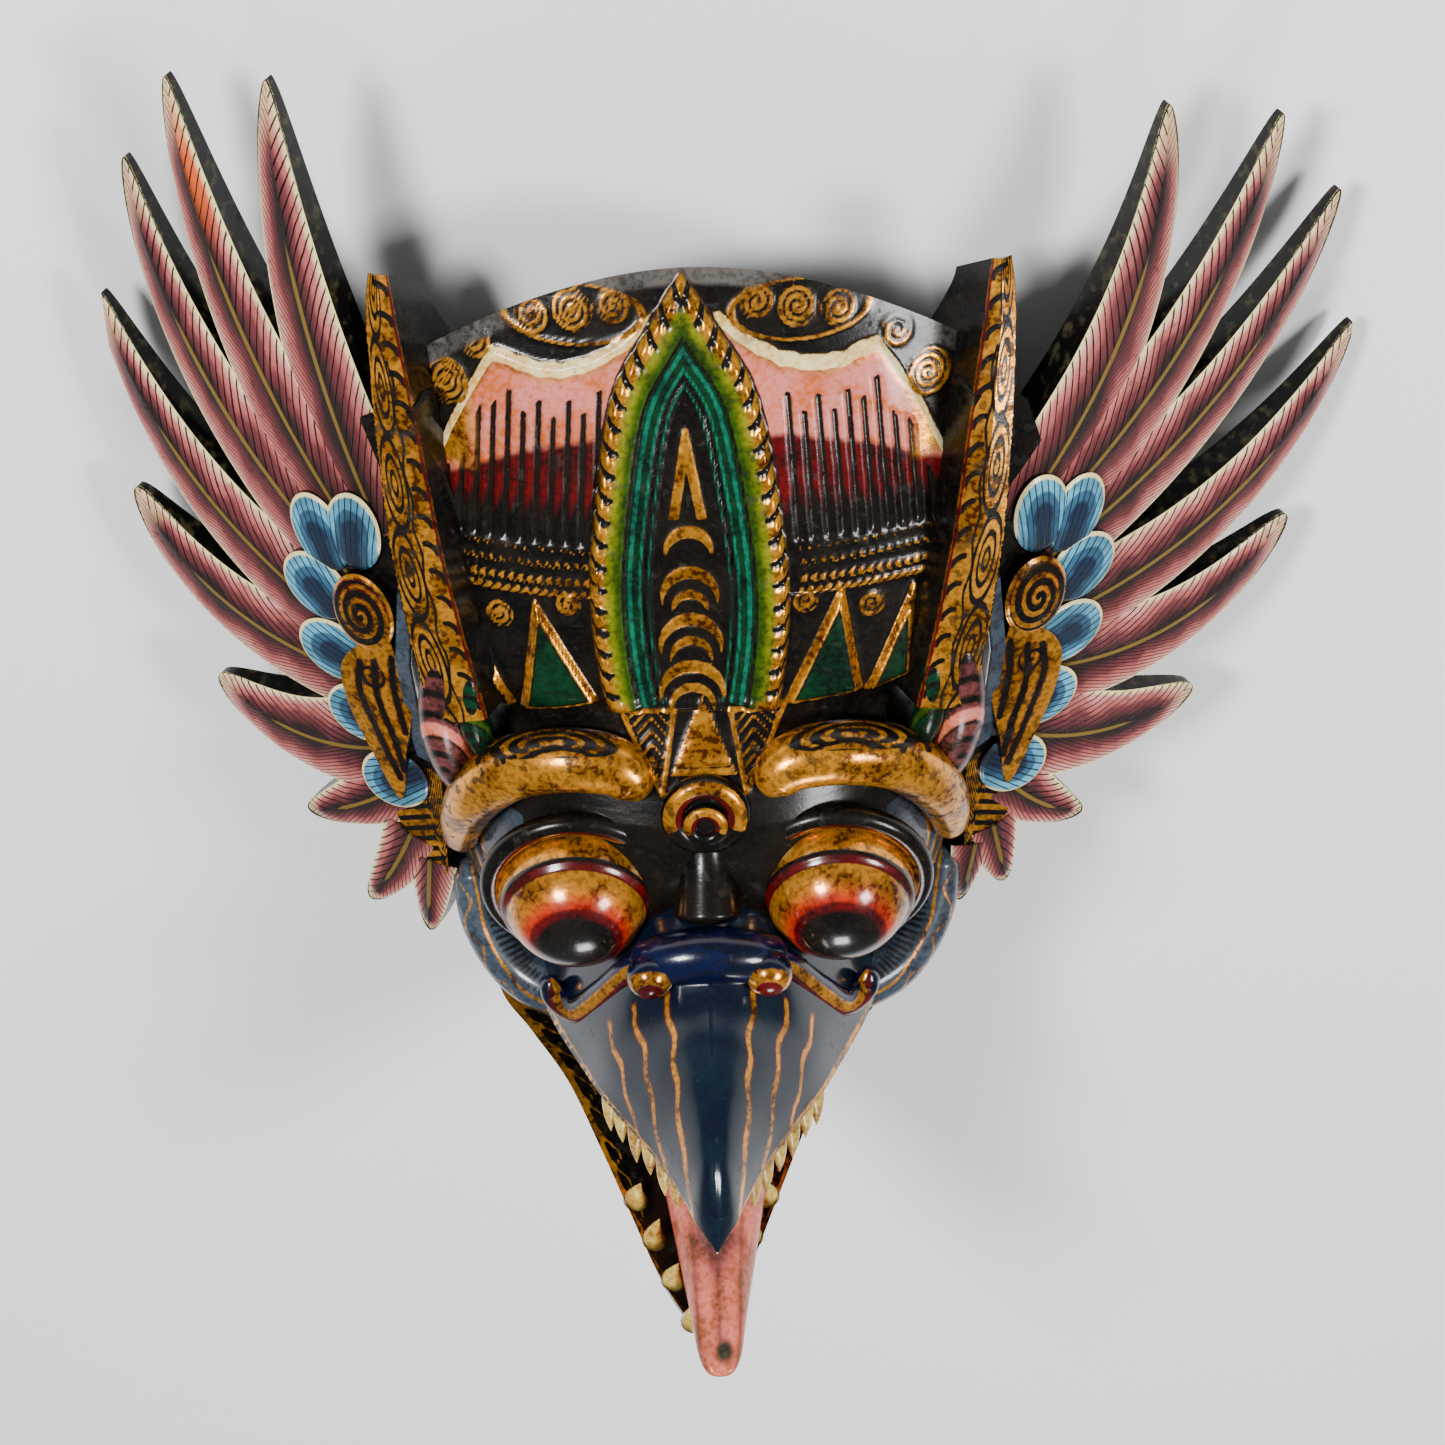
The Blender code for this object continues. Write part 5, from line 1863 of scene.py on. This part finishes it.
@dataclass(frozen=True)
class Wing:
    """Fan of feathers with petals and a carved ear at its root."""

    paints: PaintBox
    size: WingSize
    root_half: int = 95
    root_depth: int = 74
    thick: int = 14
    tip_thick: int = 4
    long: int = 4
    ridge: float = 1.6
    petal_spots: tuple = ((20, 50, 86), (34, 45, 105), (39, 24, 128), (36, -4, 160), (27, -30, 185),
                          (16, -58, 215))
    root_plate: tuple = ((-6, 104), (2, 104), (14, 97), (26, 60), (38, 0), (30, -45), (16, -74), (6, -96),
                         (-4, -96))
    petal_halves: tuple = ((10.6, 15.8), (12.4, 14.2))
    petal_top: float = 3.3
    tuck: float = 3.0
    ear_leaf: tuple = ((8, 8), (20, 4), (29, -8), (28, -24), (20, -44), (10, -62), (6, -40), (2, -16))
    ear_top: float = 5.2
    ear_foot: float = 4.7
    ear_grooves: tuple = (((24, -4), (25, -16), (19, -34), (12, -52)), ((18, -2), (18, -16), (13, -34),
                          (10, -48)), ((11, 2), (11, -12), (8, -30)))
    disc_foot: int = -6
    board_top: float = 0.6
    spread: float = 1.3

    @property
    def name(self) -> str:
        """Name of the wing's side."""
        return side_name(self.size.side)

    def spot(self, out: Array, y: Array, proud: Array) -> Array:
        """Point of the wing's plane in the mask's millimetres, kept clear of the head.

        Args:
            out: distance out from the root.
            y: places up the mask in millimetres.
            proud: height over the wing's plane.

        Returns:
            Points in millimetres.
        """
        sweep = math.radians(self.size.sweep)
        x = self.root_half + out * math.cos(sweep) + proud * math.sin(sweep)
        z = self.root_depth - out * math.sin(sweep) + proud * math.cos(sweep)
        return np.stack([self.size.side * x, y, z], -1)

    def feather(self, order: int) -> bpy.types.Object:
        """One bowed feather.

        Args:
            order: number of the feather, from the top.

        Returns:
            The object.
        """
        reach, angle, bow, half, base_out, base_up = self.size.feathers[order]
        turn = math.radians(angle)
        tip = np.array([math.cos(turn), math.sin(turn)]) * reach
        base = np.array([base_out, base_up], float)
        span = tip - base
        length = float(np.hypot(*span))
        bend = base + span * 0.5 + np.array([span[1], -span[0]]) * bow
        taper = 0.62 if order < self.long else 0.5
        rise = 0.25 * (order % 2)

        def centre(t: Array) -> tuple[Array, Array]:
            """Middle line of the feather.

            Args:
                t: shares of the length.

            Returns:
                Points, and directions across the feather.
            """
            t = t[:, None]
            middle = base * (1 - t) ** 2 + bend * 2 * t * (1 - t) + tip * t * t
            along = (bend - base) * (1 - t) + (tip - bend) * t
            along /= np.linalg.norm(along, axis=1, keepdims=True)
            return middle, np.stack([-along[:, 1], along[:, 0]], -1)

        def width(t: Array) -> Array:
            """Half width of the feather at shares of its length."""
            return half * np.maximum(1 - t, 1e-4) ** taper

        def at(level: float) -> Place:
            """The feather at a level, from its front at 0 to its back at 1.

            Args:
                level: 0 at the front, 1 at the back.

            Returns:
                What places the grid.
            """
            def place(u: Array, w: Array) -> Array:
                """Point of the feather at this level.

                Args:
                    u: shares across the grid.
                    w: shares up the grid.

                Returns:
                    Points in millimetres, one row each.
                """
                t = 1 - (1 - w) ** self.spread
                middle, across = centre(t)
                s = 2 * u - 1
                plan = middle + across * (s * width(t))[:, None]
                back = -self.tip_thick + (self.tip_thick - self.thick) * (1 - t ** 2)
                ridge = self.ridge * (1 - np.abs(s)) * ease((1 - t) * 6) - 0.5 * ease((np.abs(s) - 0.8) * 5)
                proud = np.where(level > 0, back * level, ridge + rise - 1.0 * t ** 6)
                return self.spot(plan[:, 0], plan[:, 1], proud)
            return place

        def marks(done: Body, points: Array) -> Areas:
            """Tracks that the feather's paint follows, and painted shade on its root.

            Args:
                done: the finished body.
                points: its points in millimetres; not used.

            Returns:
                Depths inside the areas, by name.
            """
            t = 1 - (1 - done.w) ** self.spread
            wide = width(t)
            middle = np.abs(2 * done.u - 1) * wide
            inset = np.minimum(wide - middle, (1 - t) * length * 0.8)
            near = np.clip(1 - middle / np.maximum(wide, 3), 0, 1) * np.clip((1 - t) * 5, 0, 1)
            barb = (t * length - middle * 2.3) / (3.8 + 2.2 * (done.u > 0.5))
            border = 1.1 + 1.3 * ease(done.u * 2 - 0.6)
            stained = order == 1 and self.size.side < 0
            orange = ease((t - 0.62) * 5) * ease(done.u * 4 - 1.8) * 0.85 * stained
            # The last value is painted shade on the root, where the feather runs in under the parts at the
            # wing's root.
            return {"inset": inset, "middle": middle + 3 * ease((t - 0.55) * 3), "share": near,
                    "orange": orange, "barb": barb, "border": border, "tip": ease((t - 0.72) * 3.2),
                    "side": done.side, "recess": ease((0.25 - t) * 4) * 0.6}

        body = Body(f"feather_{self.name}_{order + 1}", 26, 90, at(0.0))
        body.drop(at(0.06), at(0.5), at(1.0))
        return body.weld(0.002).finish(self.paints.feather, marks, "wing_paint", 40)

    def disc(self, name: str, centre: Sequence[float], angle: float, half: Sequence[float], top: float,
             crown: float, paint: bpy.types.Material, marks: Marks) -> bpy.types.Object:
        """Rounded plate on the wing.

        Args:
            name: name of the piece.
            centre: its middle.
            angle: direction in degrees.
            half: half width and half length.
            top: height over the wing's plane.
            crown: rise of its middle.
            paint: its material.
            marks: makes its painted areas.

        Returns:
            The object.
        """
        turn = math.radians(angle)
        along = np.array([math.cos(turn), math.sin(turn)])
        across = np.array([-along[1], along[0]])

        def at(level: float) -> Place:
            """The plate at a level, from its front at 0 to its back at 1.

            Args:
                level: 0 at the front, 1 at the back.

            Returns:
                What places the grid.
            """
            def place(u: Array, w: Array) -> Array:
                """Point of the plate at this level.

                Args:
                    u: shares across the grid.
                    w: shares up the grid.

                Returns:
                    Points in millimetres, one row each.
                """
                x, y = rounded(u, w)
                plan = np.array(centre) + (y * half[1])[:, None] * along + (x * half[0])[:, None] * across
                dome = crown * (1 - x * x - y * y) - 0.6 * ease((np.hypot(x, y) - 0.9) * 10)
                proud = np.where(level > 0, level * self.disc_foot + (1 - level) * top, top + dome)
                return self.spot(plan[:, 0], plan[:, 1], proud)
            return place

        body = Body(name, 44, 44, at(0.0)).drop(at(0.05), at(1.0))
        return body.finish(paint, marks, "wing_paint", 40)

    def petals(self) -> None:
        """The blue petals around the ear."""
        def marks(done: Body, points: Array) -> Areas:
            """Tracks that the petal's paint follows, and painted shade on its straight-sided end.

            Args:
                done: the finished body.
                points: its points in millimetres; not used.

            Returns:
                Depths inside the areas, by name.
            """
            x, up = rounded(done.u, done.w)
            inset = (1 - np.hypot(x, up)) * 10.5
            inset = np.where(up < -0.2, np.maximum(inset, (1 - np.abs(x)) * 9.5), inset)
            # The last value is painted shade on the petal's straight-sided end.
            return {"inset": inset, "barb": (x * 9.5 * (1.25 - 0.25 * up)) / 2.3 + 0.5, "side": done.side,
                    "recess": ease((-up - 0.1) * 1.2) * 0.7}

        for order, (out, y, angle) in enumerate(self.petal_spots):
            wide = order > 1
            turn = math.radians(180 - angle)
            centre = (out - self.tuck * wide * math.cos(turn), y - self.tuck * wide * math.sin(turn))
            top = self.petal_top - 0.3 * (order % 2)
            self.disc(f"petal_{self.name}_{order + 1}", centre, 180 - angle, self.petal_halves[wide],
                      top, 1.2, self.paints.petal, marks)

    def ear(self) -> None:
        """Carved spiral and long curled leaf at the wing's root."""
        def curl(done: Body, points: Array) -> Areas:
            """Spiral cut into the ear, with painted shade down in the spiral.

            Args:
                done: the finished body.
                points: its points in millimetres; not used.

            Returns:
                Depths inside the areas, by name.
            """
            x, y = (16 * value for value in rounded(done.u, done.w))
            line = spiral(x, y, (0, 0), 14, 5.2, self.size.side)
            # The last value is painted shade down in the spiral.
            return {"gold": 3 - done.side * 6, "notch": line + 0.35,
                    "wine": both(line + 0.9, -0.2 - line, y), "recess": np.clip(line, 0, 1) * 0.4}

        self.disc(f"ear_spiral_{self.name}", (18, 18), 90, (12, 16), 5.5, 1.5, self.paints.gilt, curl)
        line = np.array(self.ear_leaf, float)
        ring = smooth_line([*line, line[0]], 6)

        def at(level: float) -> Place:
            """The leaf at a level, from its front at 0 to its back at 1.

            Args:
                level: 0 at the front, 1 at the back.

            Returns:
                What places the grid.
            """
            def place(u: Array, w: Array) -> Array:
                """Point of the leaf at this level.

                Args:
                    u: shares across the grid.
                    w: shares up the grid.

                Returns:
                    Points in millimetres, one row each.
                """
                plan, far = stretched(u, w, line.mean(0), ring)
                edge = self.ear_top * (1 - level) - self.ear_foot * level
                proud = np.where(level > 0, edge, self.ear_top + 1.5 * (1 - far))
                return self.spot(plan[:, 0], plan[:, 1], proud)
            return place

        def grooves(done: Body, points: Array) -> Areas:
            """Grooves cut into the ear's leaf, with painted shade down in them.

            Args:
                done: the finished body.
                points: its points in millimetres.

            Returns:
                Depths inside the areas, by name.
            """
            out = (points[:, 0] * self.size.side - self.root_half) / math.cos(math.radians(self.size.sweep))
            y = points[:, 1]
            lines = [nearest(out, y, smooth_line(path, 5))[0] for path in self.ear_grooves]
            notch = join(1.5 - np.minimum.reduce(lines), spiral(out, y, (20, -8), 6.0, 3.6, -1))
            # The last value is painted shade down in the grooves.
            return {"gold": 3 - done.side * 6, "notch": notch, "wine": both(notch + 0.5, -notch),
                    "recess": np.clip(notch, 0, 1) * 0.3}

        body = Body(f"ear_leaf_{self.name}", 60, 60, at(0.0)).drop(at(0.05), at(1.0))
        body.finish(self.paints.gilt, grooves, "wing_paint", 40)

    def root(self) -> bpy.types.Object:
        """Board that the feathers are carved on.

        Returns:
            The object.
        """
        line = np.array(self.root_plate, float)
        ring = np.vstack([line, line[:1]])

        def at(level: float) -> Place:
            """The board at a level, from its front at 0 to its back at 1.

            Args:
                level: 0 at the front, 1 at the back.

            Returns:
                What places the grid.
            """
            def place(u: Array, w: Array) -> Array:
                """Point of the board at this level.

                Args:
                    u: shares across the grid.
                    w: shares up the grid.

                Returns:
                    Points in millimetres, one row each.
                """
                plan, far = stretched(u, w, line.mean(0), ring)
                proud = self.board_top * (1 - level) - self.thick * level
                return self.spot(plan[:, 0], plan[:, 1], np.full(far.shape, proud))
            return place

        def strokes(done: Body, points: Array) -> Areas:
            """Gold strokes on the board's lower part.

            Args:
                done: the finished body.
                points: its points in millimetres.

            Returns:
                Depths inside the areas, by name.
            """
            y = points[:, 1]
            beat = ((y + points[:, 0] * self.size.side * 0.5) / 5.0) % 1.0
            return {"gold": both(-y - 48, 0.5 - done.side), "notch": (0.26 - np.abs(beat - 0.5)) * 4,
                    "wine": BARE}

        body = Body(f"wing_board_{self.name}", 60, 160, at(0.0)).drop(at(0.05), at(1.0))
        return body.finish(self.paints.gilt, strokes, "wing_paint", 40)

    def build(self) -> bpy.types.Object:
        """Make the wing.

        Returns:
            The object.
        """
        board = self.root()
        for order in range(len(self.size.feathers)):
            self.feather(order)
        self.petals()
        self.ear()
        return board


@dataclass(frozen=True)
class Studio:
    """Pale floor, soft lights and the camera."""

    tilt: float = math.radians(40)
    roll: float = math.radians(-1.6)
    distance: float = 1.2
    focus_share: float = 3600 / 1445
    shift_share: float = 20 / 1445
    target: tuple = (0, -5, 105)
    aim: tuple = (0, 0, 0.08)
    sensor: int = 36
    lamps: tuple = (("key", (-0.8, 0.9, 1.4), 0.35, 40), ("fill", (1.0, 0.3, 1.2), 0.35, 21),
                    ("beak_light", (0.1, -1.2, 1.0), 0.35, 9))
    sky: float = 0.2
    floor_shade: tuple = (0.90, 0.90, 0.90, 1)
    floor_light: tuple = (0.96, 0.96, 0.96, 1)

    def light(self, name: str, place: Sequence[float], size: float, power: float) -> None:
        """One soft square light that faces the mask.

        Args:
            name: name of the piece.
            place: where it stands, in metres.
            size: its width in metres.
            power: strength in watts.
        """
        data = bpy.data.lights.new(name, "AREA")
        data.size = size
        data.energy = power
        lamp = bpy.data.objects.new(name, data)
        lamp.location = place
        lamp.rotation_euler = (Vector(self.aim) - Vector(place)).to_track_quat("-Z", "Y").to_euler()
        bpy.context.scene.collection.objects.link(lamp)

    def floor(self) -> None:
        """Pale floor under the mask."""
        bm = bmesh.new()
        bmesh.ops.create_grid(bm, x_segments=2, y_segments=2, size=3.0)
        mesh = bpy.data.meshes.new("floor")
        bm.to_mesh(mesh)
        bm.free()
        graph = Graph("floor_paper")
        cloud = graph.noise(1.2, 2.0)
        colour = graph.mix(cloud, self.floor_shade, self.floor_light)
        paper = graph.node("ShaderNodeBsdfPrincipled", {}, {"Base Color": colour, "Roughness": 0.9})
        graph.node_output(paper)
        mesh.materials.append(graph.material)
        item = bpy.data.objects.new("floor", mesh)
        bpy.context.scene.collection.objects.link(item)
        item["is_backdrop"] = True

    def camera(self) -> None:
        """Camera above the beak, tilted as the mask is seen."""
        forward = Vector((0, -math.sin(self.tilt), -math.cos(self.tilt)))
        up = Vector((0, math.cos(self.tilt), -math.sin(self.tilt)))
        side = Vector((1, 0, 0))
        right = side * math.cos(self.roll) + up * math.sin(self.roll)
        above = up * math.cos(self.roll) - side * math.sin(self.roll)
        data = bpy.data.cameras.new("camera")
        data.sensor_width = self.sensor
        data.lens = self.sensor * self.focus_share
        data.shift_x = self.shift_share
        eye = bpy.data.objects.new("camera", data)
        target = Vector(np.array(self.target) * MM + SPACE.shift)
        spot = target - forward * self.distance
        axes = [(right[i], above[i], -forward[i], spot[i]) for i in range(3)]
        eye.matrix_world = Matrix([*axes, (0, 0, 0, 1)])
        bpy.context.scene.collection.objects.link(eye)
        bpy.context.scene.camera = eye

    def build(self) -> None:
        """Set up the studio."""
        self.floor()
        for lamp in self.lamps:
            self.light(*lamp)
        world = bpy.data.worlds.new("studio")
        world.use_nodes = True
        ground = world.node_tree.nodes["Background"]
        ground.inputs["Color"].default_value = (1, 1, 1, 1)
        ground.inputs["Strength"].default_value = self.sky
        bpy.context.scene.world = world
        self.camera()


def corners() -> list[list[float]]:
    """Lowest and highest corner of everything, as plain numbers."""
    return [[float(value) for value in corner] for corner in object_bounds()]


def main() -> None:
    """Build the mask's looks and its studio."""
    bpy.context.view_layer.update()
    paints = PaintBox()
    LOG.info("paints mixed")
    head = HeadShell(paints).build()
    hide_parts("mask_head")
    LOG.info("head block carved")
    for side in (-1, 1):
        Blade(paints, side).build()
        SidePlate(paints, side).build()
    LOG.info("blades and plates carved")
    Face(paints).build()
    LOG.info("face carved")
    Mouth(paints).build()
    LOG.info("mouth carved")
    for size in (LEFT_WING, RIGHT_WING):
        board = Wing(paints, size).build()
        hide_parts(f"wing_{side_name(size.side)}")
        LOG.info("wing_%s carved", side_name(size.side))
    Studio().build()


if __name__ == "__main__":
    main()
